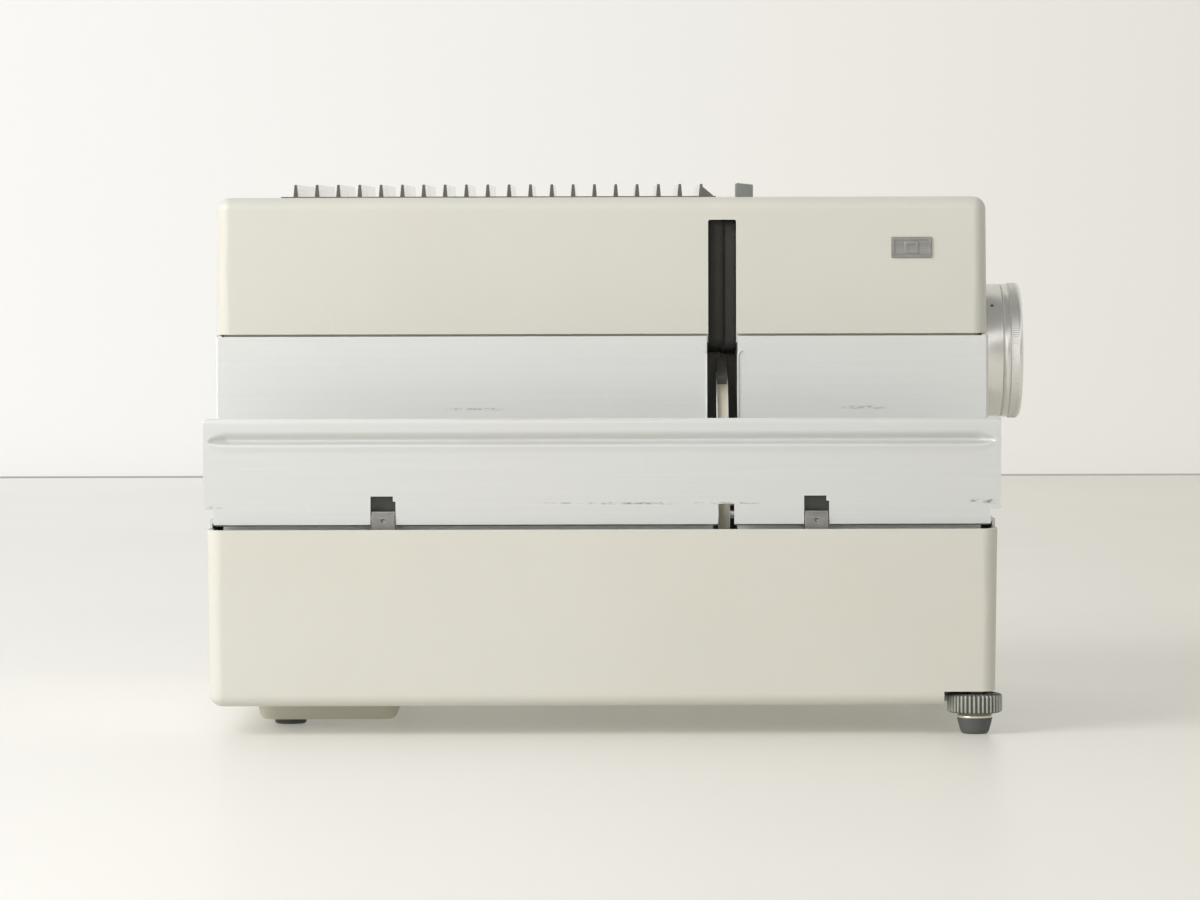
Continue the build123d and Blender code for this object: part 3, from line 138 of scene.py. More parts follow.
def noise(tree, vector, scale, detail=3.0, rough=0.55, stretch=None):
    node = tree.nodes.new("ShaderNodeTexNoise")
    node.inputs["Detail"].default_value = detail
    node.inputs["Roughness"].default_value = rough
    if isinstance(scale, (int, float)):
        node.inputs["Scale"].default_value = scale
    else:
        tree.links.new(scale, node.inputs["Scale"])
    if stretch:
        map_node = tree.nodes.new("ShaderNodeMapping")
        if isinstance(stretch, (tuple, list)):
            map_node.inputs["Scale"].default_value = stretch
        else:
            tree.links.new(stretch, map_node.inputs["Scale"])
        tree.links.new(vector, map_node.inputs["Vector"])
        vector = map_node.outputs["Vector"]
    tree.links.new(vector, node.inputs["Vector"])
    return node.outputs["Fac"]


def make_worn_edges():
    """Bare or rubbed corners: where the surface turns sharply, broken up by noise."""
    group, given, out, place = effect(
        "worn_edges",
        [("Width", FLOAT, 0.0008), ("Amount", FLOAT, 0.5)],
        [("Mask", FLOAT)])
    rounded = group.nodes.new("ShaderNodeBevel")
    rounded.samples = 4
    wire(group, (given["Width"], rounded.inputs["Radius"]))
    plain = group.nodes.new("ShaderNodeNewGeometry").outputs["Normal"]
    dot = group.nodes.new("ShaderNodeVectorMath")
    dot.operation = "DOT_PRODUCT"
    wire(group, (rounded.outputs["Normal"], dot.inputs[0]), (plain, dot.inputs[1]))
    turn = ramp(group, dot.outputs["Value"], 0.999, 0.93)
    patch = ramp(group, noise(group, place, 90.0, 5.0, 0.65), 0.42, 0.62)
    wire(group, (product(group, turn, patch, given["Amount"], clamp=True), out["Mask"]))
    return group


def make_fine_grain():
    """Small even unevenness of a paint or a moulding, as a height and a soft patchiness."""
    group, given, out, place = effect(
        "fine_grain",
        [("Scale", FLOAT, 900.0), ("Patch Scale", FLOAT, 14.0)],
        [("Height", FLOAT), ("Patches", FLOAT)])
    wire(group, (noise(group, place, given["Scale"], 2.0, 0.5), out["Height"]))
    wire(group, (noise(group, place, given["Patch Scale"], 4.0, 0.6), out["Patches"]))
    return group


def make_drawn_lines():
    """Fine parallel lines left by rolling, drawing or turning metal."""
    group, given, out, place = effect(
        "drawn_lines",
        [("Along", VECTOR, (20.0, 900.0, 900.0)), ("Fineness", FLOAT, 1.0)],
        [("Height", FLOAT), ("Tone", FLOAT)])
    fine = noise(group, place, given["Fineness"], 4.0, 0.7, given["Along"])
    broad = noise(group, place, 1.0, 3.0, 0.5, (6.0, 40.0, 40.0))
    wire(group, (fine, out["Height"]))
    wire(group, (sums(group, "ADD", sums(group, "MULTIPLY", fine, 0.5), sums(group, "MULTIPLY", broad, 0.5)),
                 out["Tone"]))
    return group


def make_settled_dust():
    """Dust that lies thinly on faces that look up, and collects in patches."""
    group, given, out, place = effect("settled_dust", [("Amount", FLOAT, 0.3)], [("Mask", FLOAT)])
    normal = group.nodes.new("ShaderNodeSeparateXYZ")
    wire(group, (group.nodes.new("ShaderNodeNewGeometry").outputs["Normal"], normal.inputs[0]))
    up = ramp(group, normal.outputs["Z"], 0.5, 1.0)
    specks = ramp(group, noise(group, place, 420.0, 4.0, 0.7), 0.5, 0.75)
    veil = ramp(group, noise(group, place, 24.0, 4.0, 0.6), 0.3, 0.75)
    dust = product(group, up, sums(group, "ADD", specks, veil), given["Amount"], clamp=True)
    wire(group, (dust, out["Mask"]))
    return group


def make_handling_marks():
    """Cloudy smudges and hairline scratches from years of handling."""
    group, given, out, place = effect(
        "handling_marks",
        [("Clouds", FLOAT, 1.0), ("Scratches", FLOAT, 1.0)],
        [("Smudge", FLOAT), ("Scratch", FLOAT)])
    cloud = ramp(group, noise(group, place, 9.0, 5.0, 0.62), 0.35, 0.75)
    lines = group.nodes.new("ShaderNodeTexWave")
    lines.bands_direction = "DIAGONAL"
    lines.inputs["Scale"].default_value = 31.0
    lines.inputs["Distortion"].default_value = 9.0
    lines.inputs["Detail"].default_value = 2.0
    lines.inputs["Detail Scale"].default_value = 0.6
    wire(group, (place, lines.inputs["Vector"]))
    hair = ramp(group, lines.outputs["Fac"], 0.9990, 1.0)
    where = ramp(group, noise(group, place, 17.0, 3.0, 0.6), 0.60, 0.72)
    wire(group, (product(group, cloud, given["Clouds"], clamp=True), out["Smudge"]),
         (product(group, hair, where, given["Scratches"], clamp=True), out["Scratch"]))
    return group


def make_rubbed_streak():
    """One broken dark streak along X, such as a tray's edge leaves on a sheet."""
    group, given, out, place = effect(
        "rubbed_streak",
        [("Middle", VECTOR, (0, 0, 0)), ("Half Length", FLOAT, 0.03), ("Half Height", FLOAT, 0.0006),
         ("Break Up", FLOAT, 260.0)],
        [("Mask", FLOAT)])
    part = distances(group, place, given["Middle"])
    along = sums(group, "DIVIDE", sums(group, "ABSOLUTE", part["X"]), given["Half Length"])
    across = sums(group, "DIVIDE", sums(group, "ABSOLUTE", part["Z"]), given["Half Height"])
    flecks = noise(group, place, given["Break Up"], 5.0, 0.75, (0.6, 1.0, 2.2))
    streak = product(group, ramp(group, along, 1.0, 0.55), ramp(group, across, 1.0, 0.2),
                     ramp(group, flecks, 0.46, 0.60), clamp=True)
    wire(group, (streak, out["Mask"]))
    return group


def make_rib_tops():
    """The crests of two ribbed wheels that stand either side of a line along X."""
    group, given, out, place = effect(
        "rib_tops",
        [("Middle", VECTOR, (0, 0, 0)), ("Offset", FLOAT, 0.11), ("Inner", FLOAT, 0.016),
         ("Outer", FLOAT, 0.017)],
        [("Mask", FLOAT)])
    part = distances(group, place, given["Middle"])
    side = sums(group, "SUBTRACT", sums(group, "ABSOLUTE", part["Y"]), given["Offset"])
    squares = sums(group, "ADD", product(group, part["X"], part["X"]), product(group, side, side))
    far = sums(group, "SQRT", squares)
    crest = ramp(group, far, given["Inner"], given["Outer"])
    speckle = ramp(group, noise(group, place, 700.0, 3.0, 0.6), 0.25, 0.5, 0.75, 1.0)
    wire(group, (product(group, crest, speckle, clamp=True), out["Mask"]))
    return group


def make_side_glow():
    """A painted glow that falls from the window side to the far side of the room."""
    group, given, out, place = effect(
        "side_glow",
        [("Left", COLOUR, (1, 1, 1, 1)), ("Right", COLOUR, (1, 1, 1, 1)), ("Reach", FLOAT, 0.5)],
        [("Colour", COLOUR)])
    part = group.nodes.new("ShaderNodeSeparateXYZ")
    wire(group, (place, part.inputs[0]))
    share = sums(group, "DIVIDE", part.outputs["X"], given["Reach"])
    share = sums(group, "MULTIPLY_ADD", share, 0.5, 0.5, clamp=True)
    mix = group.nodes.new("ShaderNodeMix")
    mix.data_type = "RGBA"
    wire(group, (share, mix.inputs["Factor"]), (given["Left"], mix.inputs["A"]),
         (given["Right"], mix.inputs["B"]), (mix.outputs["Result"], out["Colour"]))
    return group


worn_edges = make_worn_edges()
fine_grain = make_fine_grain()
drawn_lines = make_drawn_lines()
settled_dust = make_settled_dust()
handling_marks = make_handling_marks()
rubbed_streak = make_rubbed_streak()
rib_tops = make_rib_tops()
side_glow = make_side_glow()


# ---------------------------------------------------------------- finishes
class Finish:
    """A material with its Principled shader, and short ways to place effects in it."""

    def __init__(self, name, colour, rough, metal=0.0, **fixed):
        self.material = bpy.data.materials.new(name)
        self.material.use_nodes = True
        self.tree = self.material.node_tree
        self.shader = self.tree.nodes["Principled BSDF"]
        self.colour = (*colour, 1.0)
        self.rough = rough
        self.shader.inputs["Base Color"].default_value = self.colour
        self.shader.inputs["Roughness"].default_value = rough
        self.shader.inputs["Metallic"].default_value = metal
        for label, value in fixed.items():
            self.shader.inputs[label.replace("_", " ")].default_value = value
        self.colour_now = None
        self.rough_now = None

    def place(self, group, **values):
        node = self.tree.nodes.new("ShaderNodeGroup")
        node.node_tree = group
        for label, value in values.items():
            node.inputs[label.replace("_", " ")].default_value = value
        return node.outputs

    def tint(self, mask, colour, strength=1.0):
        """Mixes a colour in where the mask is."""
        mix = self.tree.nodes.new("ShaderNodeMix")
        mix.data_type = "RGBA"
        if strength != 1.0:
            mask = sums(self.tree, "MULTIPLY", mask, strength, clamp=True)
        self.tree.links.new(mask, mix.inputs["Factor"])
        if self.colour_now is None:
            mix.inputs["A"].default_value = self.colour
        else:
            self.tree.links.new(self.colour_now, mix.inputs["A"])
        mix.inputs["B"].default_value = (*colour, 1.0)
        self.colour_now = mix.outputs["Result"]
        self.tree.links.new(self.colour_now, self.shader.inputs["Base Color"])
        return self

    def roughen(self, mask, by):
        """Adds to the roughness where the mask is."""
        start = self.rough_now if self.rough_now is not None else self.rough
        self.rough_now = sums(self.tree, "MULTIPLY_ADD", mask, by, start, clamp=True)
        self.tree.links.new(self.rough_now, self.shader.inputs["Roughness"])
        return self

    def bump(self, height, depth, strength=1.0):
        node = self.tree.nodes.new("ShaderNodeBump")
        node.inputs["Distance"].default_value = depth
        node.inputs["Strength"].default_value = strength
        self.tree.links.new(height, node.inputs["Height"])
        if self.shader.inputs["Normal"].is_linked:
            self.tree.links.new(self.shader.inputs["Normal"].links[0].from_socket, node.inputs["Normal"])
        self.tree.links.new(node.outputs["Normal"], self.shader.inputs["Normal"])
        return self


def enamel(name, colour, rubbed):
    """Satin stoved enamel with faint orange peel, rubbed corners and a little dust."""
    made = Finish(name, colour, 0.42, Coat_Weight=0.12, Coat_Roughness=0.25)
    grain = made.place(fine_grain, Scale=620.0, Patch_Scale=11.0)
    marks = made.place(handling_marks, Clouds=0.8, Scratches=0.55)
    made.tint(ramp(made.tree, grain["Patches"], 0.3, 0.8), [c * 0.94 for c in colour], 0.5)
    made.tint(marks["Smudge"], (colour[0] * 0.93, colour[1] * 0.90, colour[2] * 0.84), 0.22)
    made.tint(marks["Scratch"], [min(c * 1.15, 0.9) for c in colour], 0.5)
    made.tint(made.place(worn_edges, Width=0.0009, Amount=0.55)["Mask"], rubbed)
    made.tint(made.place(settled_dust, Amount=0.20)["Mask"], (0.62, 0.58, 0.50))
    made.roughen(marks["Smudge"], 0.10)
    made.bump(grain["Height"], 0.00006, 0.35)
    return made


housing_enamel = enamel("housing_enamel", (0.645, 0.635, 0.575), (0.74, 0.73, 0.68))
base_enamel = enamel("base_enamel", (0.67, 0.645, 0.545), (0.70, 0.68, 0.62))


def rolled_sheet(name, along, colour=(0.755, 0.765, 0.755)):
    """Satin anodised sheet with faint rolling lines, cloudy handling and dulled edges."""
    made = Finish(name, colour, 0.46, metal=0.55)
    lines = made.place(drawn_lines, Along=along, Fineness=1.0)
    marks = made.place(handling_marks, Clouds=1.0, Scratches=0.9)
    grain = made.place(fine_grain, Scale=1500.0, Patch_Scale=16.0)
    made.tint(ramp(made.tree, lines["Tone"], 0.3, 0.7), [c * 0.93 for c in colour], 0.45)
    made.tint(marks["Smudge"], (0.66, 0.70, 0.71), 0.30)
    made.tint(marks["Scratch"], (0.85, 0.86, 0.87), 0.55)
    made.tint(made.place(worn_edges, Width=0.0006, Amount=0.7)["Mask"], (0.86, 0.87, 0.87))
    made.roughen(ramp(made.tree, lines["Height"], 0.3, 0.7), 0.10)
    made.roughen(marks["Smudge"], 0.12)
    made.bump(lines["Height"], 0.00004, 0.30)
    made.bump(grain["Height"], 0.00003, 0.25)
    return made


channel_sheet = rolled_sheet("channel_sheet", (9.0, 700.0, 700.0))
flap_sheet = rolled_sheet("flap_sheet", (9.0, 700.0, 700.0), (0.70, 0.705, 0.69))

# where trays and hands have rubbed: middle in millimetres, half length, half height, darkness
flap_streaks = (
    ((13.0, -115.5, 85.9), 0.021, 0.0006, 0.85), ((46.0, -115.5, 85.9), 0.014, 0.0005, 0.7),
    ((-12.0, -115.5, 86.0), 0.016, 0.0004, 0.45), ((140.6, -115.5, 86.4), 0.006, 0.0012, 0.8),
    ((-143.0, -115.5, 84.6), 0.004, 0.0007, 0.5))
wall_streaks = (((-48.0, -64.0, 119.0), 0.013, 0.0007, 0.6), ((99.0, -64.0, 119.4), 0.010, 0.0009, 0.6))
for sheet, streaks, dark, fineness in ((flap_sheet, flap_streaks, (0.16, 0.165, 0.17), 520.0),
                                       (channel_sheet, wall_streaks, (0.25, 0.26, 0.26), 900.0)):
    for spot, half, tall, darkness in streaks:
        streak = sheet.place(rubbed_streak, Middle=at(*spot), Half_Length=half, Half_Height=tall,
                             Break_Up=fineness)["Mask"]
        sheet.tint(streak, dark, darkness)


def plated(name, colour=(0.46, 0.45, 0.42), rough=0.36):
    """Zinc-plated steel with a mottled spangle and rubbed corners."""
    made = Finish(name, colour, rough, metal=1.0)
    grain = made.place(fine_grain, Scale=380.0, Patch_Scale=60.0)
    marks = made.place(handling_marks, Clouds=1.0, Scratches=1.0)
    made.tint(ramp(made.tree, grain["Patches"], 0.35, 0.7), [c * 0.72 for c in colour], 0.7)
    made.tint(made.place(worn_edges, Width=0.0005, Amount=0.9)["Mask"], (0.75, 0.74, 0.72))
    made.tint(marks["Smudge"], (0.30, 0.27, 0.22), 0.25)
    made.roughen(grain["Patches"], 0.16)
    made.bump(grain["Height"], 0.00004, 0.4)
    return made


plated_steel = plated("plated_steel")
dull_tab_steel = plated("dull_tab_steel", (0.30, 0.305, 0.29), 0.50)


def lacquer(name, colour, rough, bare, grain_depth=0.00004, edge=0.8, coat=0.0):
    """Dark paint over metal with pale rubbed corners and settled dust."""
    made = Finish(name, colour, rough, Coat_Weight=coat, Coat_Roughness=0.08)
    grain = made.place(fine_grain, Scale=760.0, Patch_Scale=26.0)
    marks = made.place(handling_marks, Clouds=1.0, Scratches=0.8)
    made.tint(ramp(made.tree, grain["Patches"], 0.3, 0.8), [c * 1.7 for c in colour], 0.4)
    made.tint(made.place(worn_edges, Width=0.0004, Amount=edge)["Mask"], bare)
    made.tint(made.place(settled_dust, Amount=0.30)["Mask"], (0.40, 0.37, 0.32))
    made.roughen(marks["Smudge"], 0.12)
    made.bump(grain["Height"], grain_depth, 0.5)
    return made


grille_enamel = lacquer("grille_enamel", (0.070, 0.064, 0.050), 0.20, (0.30, 0.29, 0.27), 0.00001, 0.7, 1.0)
# black paint of dark parts; also the painted shade strips under the flap
black_lacquer_and_shade = lacquer("black_lacquer_and_shade", (0.040, 0.039, 0.034), 0.50, (0.20, 0.19, 0.18))
# painted reflection: the warm beige that the changer arm's bare web shows
web_reflection_beige = lacquer("web_reflection_beige", (0.50, 0.46, 0.37), 0.45, (0.66, 0.64, 0.58), 0.00003, 0.5)
# dark sheets inside the slide slot: painted shade; the second one is lighter, painted to lift that shade
slot_shade_felt = lacquer("slot_shade_felt", (0.030, 0.029, 0.026), 0.85, (0.06, 0.058, 0.052), 0.0004, 0.2)
slot_lifted_shade_felt = lacquer("slot_lifted_shade_felt", (0.110, 0.104, 0.090), 0.85, (0.12, 0.115, 0.10), 0.0004, 0.2)
# dark spring steel of the changer finger; also the painted shade sheets behind the flap's notches
blued_spring_and_shade = lacquer("blued_spring_and_shade", (0.092, 0.093, 0.086), 0.42, (0.18, 0.18, 0.17))


def moulded(name, colour, rough=0.42, edge=(0.30, 0.31, 0.30), grain=0.00005):
    """Moulded plastic with a faint texture, shinier where it is touched."""
    made = Finish(name, colour, rough, Specular_IOR_Level=0.5)
    speck = made.place(fine_grain, Scale=1300.0, Patch_Scale=70.0)
    marks = made.place(handling_marks, Clouds=1.0, Scratches=0.5)
    made.tint(ramp(made.tree, speck["Patches"], 0.3, 0.75), [c * 0.72 for c in colour], 0.6)
    made.tint(made.place(worn_edges, Width=0.0004, Amount=0.6)["Mask"], edge)
    made.tint(made.place(settled_dust, Amount=0.25)["Mask"], (0.36, 0.35, 0.32))
    made.roughen(marks["Smudge"], -0.10)
    made.bump(speck["Height"], grain, 0.5)
    return made


button_plastic = moulded("button_plastic", (0.135, 0.150, 0.145))
top_button_plastic = moulded("top_button_plastic", (0.215, 0.228, 0.215), 0.46, (0.36, 0.37, 0.36))
wheel_plastic = moulded("wheel_plastic", (0.100, 0.108, 0.098), 0.40, (0.34, 0.35, 0.32))
wheel_low, wheel_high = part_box("level_wheel_near")
wheel_spot = (wheel_low + wheel_high) / 2
wheel_reach = (wheel_high.x - wheel_low.x) / 2
crests = wheel_plastic.place(rib_tops, Middle=(wheel_spot.x, case_y, 0.0), Offset=abs(wheel_spot.y - case_y),
                             Inner=wheel_reach - 0.60 * MM, Outer=wheel_reach - 0.22 * MM)
wheel_plastic.tint(crests["Mask"], (0.40, 0.41, 0.365))
black_moulding = moulded("black_moulding", (0.020, 0.020, 0.020), 0.45, (0.10, 0.10, 0.10))
foot_rubber = moulded("foot_rubber", (0.098, 0.104, 0.101), 0.62, (0.16, 0.17, 0.17), 0.00012)


def turned(name, colour, rough, along=(900.0, 3.0, 3.0)):
    """Turned aluminium, satin anodised, with fine rings round its axis."""
    made = Finish(name, colour, rough, metal=0.66, Anisotropic=0.45)
    lines = made.place(drawn_lines, Along=along, Fineness=1.0)
    marks = made.place(handling_marks, Clouds=0.8, Scratches=0.6)
    made.tint(ramp(made.tree, lines["Tone"], 0.3, 0.7), [c * 0.86 for c in colour], 0.5)
    made.tint(made.place(worn_edges, Width=0.0005, Amount=0.5)["Mask"], (0.9, 0.9, 0.9))
    made.tint(marks["Smudge"], [c * 0.85 for c in colour], 0.4)
    made.roughen(lines["Height"], 0.08)
    made.bump(lines["Height"], 0.00003, 0.5)
    return made


lens_aluminium = turned("lens_aluminium", (0.96, 0.955, 0.92), 0.22)
ring_aluminium = turned("ring_aluminium", (0.96, 0.96, 0.935), 0.22)
collar_metal = turned("collar_metal", (0.86, 0.80, 0.68), 0.24, (3.0, 3.0, 900.0))

coated_glass = Finish("coated_glass", (0.93, 0.95, 0.98), 0.02, Transmission_Weight=1.0, IOR=1.52,
                      Coat_Weight=0.6, Coat_Tint=(0.72, 0.62, 0.95, 1.0))
coated_glass.bump(coated_glass.place(fine_grain, Scale=60.0, Patch_Scale=8.0)["Patches"], 0.00001, 0.1)
coated_glass.roughen(coated_glass.place(handling_marks, Clouds=1.0, Scratches=1.0)["Smudge"], 0.05)

silvered = Finish("silvered", (0.92, 0.92, 0.91), 0.05, metal=1.0)
silvered.tint(silvered.place(fine_grain, Scale=300.0, Patch_Scale=30.0)["Patches"], (0.80, 0.80, 0.79), 0.4)
silvered.roughen(silvered.place(handling_marks, Clouds=1.0, Scratches=1.0)["Smudge"], 0.12)

porcelain = Finish("porcelain", (0.80, 0.77, 0.70), 0.28, Coat_Weight=0.5)
porcelain.tint(porcelain.place(fine_grain, Scale=300.0, Patch_Scale=40.0)["Patches"], (0.66, 0.60, 0.50), 0.5)
porcelain.tint(porcelain.place(worn_edges, Width=0.0006, Amount=0.5)["Mask"], (0.55, 0.47, 0.36))

winding = Finish("winding", (0.46, 0.17, 0.055), 0.34, metal=0.55, Coat_Weight=0.4)
turns_of_wire = winding.place(drawn_lines, Along=(4.0, 4.0, 1500.0), Fineness=1.0)
winding.tint(ramp(winding.tree, turns_of_wire["Height"], 0.4, 0.6), (0.20, 0.07, 0.02), 0.8)
winding.bump(turns_of_wire["Height"], 0.0002, 0.8)

laminations = Finish("laminations", (0.11, 0.105, 0.10), 0.44, metal=0.7)
plates = laminations.place(drawn_lines, Along=(4.0, 1400.0, 4.0), Fineness=1.0)
laminations.tint(ramp(laminations.tree, plates["Height"], 0.42, 0.58), (0.035, 0.032, 0.03), 0.8)
laminations.tint(laminations.place(worn_edges, Width=0.0006, Amount=0.9)["Mask"], (0.34, 0.32, 0.29))
laminations.bump(plates["Height"], 0.00015, 0.7)

laminate = Finish("laminate", (0.26, 0.13, 0.045), 0.38, Coat_Weight=0.3)
weave = laminate.place(fine_grain, Scale=900.0, Patch_Scale=50.0)
laminate.tint(ramp(laminate.tree, weave["Patches"], 0.35, 0.65), (0.36, 0.20, 0.075), 0.6)
laminate.tint(laminate.place(settled_dust, Amount=0.3)["Mask"], (0.45, 0.40, 0.33))
laminate.bump(weave["Height"], 0.00005, 0.5)

etched_plate = Finish("etched_plate", (0.42, 0.42, 0.40), 0.42, metal=0.6)
etch = etched_plate.place(drawn_lines, Along=(12.0, 800.0, 800.0), Fineness=1.0)
etched_plate.tint(ramp(etched_plate.tree, etch["Tone"], 0.3, 0.7), (0.16, 0.16, 0.15), 0.6)
etched_plate.tint(etched_plate.place(worn_edges, Width=0.0002, Amount=0.8)["Mask"], (0.72, 0.72, 0.70))
etched_plate.bump(etch["Height"], 0.00002, 0.4)

finish_of_slot = {
    "housing_paint": housing_enamel, "aluminium": channel_sheet, "steel": plated_steel,
    "dark_grille": grille_enamel, "black_metal": black_lacquer_and_shade, "black_plastic": black_moulding,
    "grey_plastic": button_plastic,
    "rubber": foot_rubber, "glass": coated_glass, "mirror": silvered, "ceramic_white": porcelain,
    "copper": winding, "iron": laminations, "board": laminate, "badge": etched_plate,
}
finish_of_node = {
    "base_plate": base_enamel, "bottom_cover": base_enamel, "flap_brackets": dull_tab_steel,
    "focus_knob": button_plastic, "changer_arm": plated_steel, "top_button": top_button_plastic,
    "pressure_frame": black_lacquer_and_shade, "arm_finger": blued_spring_and_shade,
}


# ---------------------------------------------------------------- making pieces
def dress(piece, finish, slot, body, *stands_for):
    """Gives a new piece its finish, and the body that it moves with. The slot is not used."""
    piece.data.materials.clear()
    piece.data.materials.append(finish.material)
    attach(piece, body)
    for node in stands_for:
        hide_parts(node)
    return piece


def shell(name, points, faces, smooth=True):
    mesh = bpy.data.meshes.new(name)
    mesh.from_pydata([tuple(p) for p in points], [], faces)
    mesh.update()
    if smooth:
        mesh.polygons.foreach_set("use_smooth", [True] * len(mesh.polygons))
    piece = bpy.data.objects.new(name, mesh)
    bpy.context.scene.collection.objects.link(piece)
    return piece


def outward(piece):
    """Makes a closed piece's faces look out."""
    work = bmesh.new()
    work.from_mesh(piece.data)
    bmesh.ops.recalc_face_normals(work, faces=work.faces)
    work.to_mesh(piece.data)
    work.free()
    return piece


def sheet_of(name, rows):
    """An open sheet through rows of points, all of one length."""
    wide = len(rows[0])
    faces = []
    for k in range(len(rows) - 1):
        for j in range(wide - 1):
            here, there = k * wide + j, (k + 1) * wide + j
            faces.append((here, here + 1, there + 1, there))
    return shell(name, [point for row in rows for point in row], faces)


def thicken(piece, thickness, offset=0.0):
    """Gives a sheet its thickness."""
    solid = piece.modifiers.new("sheet", "SOLIDIFY")
    solid.thickness = thickness
    solid.offset = offset
    return piece


def soften(piece, width, angle=35.0, segments=2):
    """Breaks a piece's sharp corners, as a press, a mould or a file does."""
    weld = piece.modifiers.new("join", "WELD")
    weld.merge_threshold = 0.000002
    edge = piece.modifiers.new("corners", "BEVEL")
    edge.width = width
    edge.segments = segments
    edge.limit_method = "ANGLE"
    edge.angle_limit = math.radians(angle)
    edge.miter_outer = "MITER_ARC"
    edge.use_clamp_overlap = True
    level = piece.modifiers.new("even_faces", "WEIGHTED_NORMAL")
    level.keep_sharp = False
    level.weight = 60
    return piece


def in_metres(pairs):
    return [(along * MM, radius * MM) for along, radius in pairs]


def profile_from(start, *pairs):
    """Turns (millimetres along from the start, radius in metres) pairs into a profile."""
    return [(start + along * MM, radius) for along, radius in pairs]


def tube_faces(rings, count):
    """The side faces of a tube whose points come in rings."""
    faces = []
    for k in range(rings - 1):
        for j in range(count):
            i = (j + 1) % count
            faces.append((k * count + j, k * count + i, (k + 1) * count + i, (k + 1) * count + j))
    return faces


def turned_round(name, profile, centre, axis="X", steps=96, radius_of=None):
    """A closed turning: profile is (distance along the axis, radius) pairs in metres, round X or Z.
    radius_of(angle, along, radius) may cut ribs into it."""
    points, faces = [], []
    count = len(profile)
    for k in range(steps):
        angle = 2 * math.pi * k / steps
        for along, radius in profile:
            r = radius_of(angle, along, radius) if radius_of else radius
            a, b = r * math.cos(angle), r * math.sin(angle)
            if axis == "X":
                points.append(centre + Vector((along, a, b)))
            else:
                points.append(centre + Vector((a, b, along)))
    for k in range(steps):
        here, there = k * count, (k + 1) % steps * count
        for j in range(count):
            i = (j + 1) % count
            faces.append((here + j, here + i, there + i, there + j))
    return outward(shell(name, points, faces))


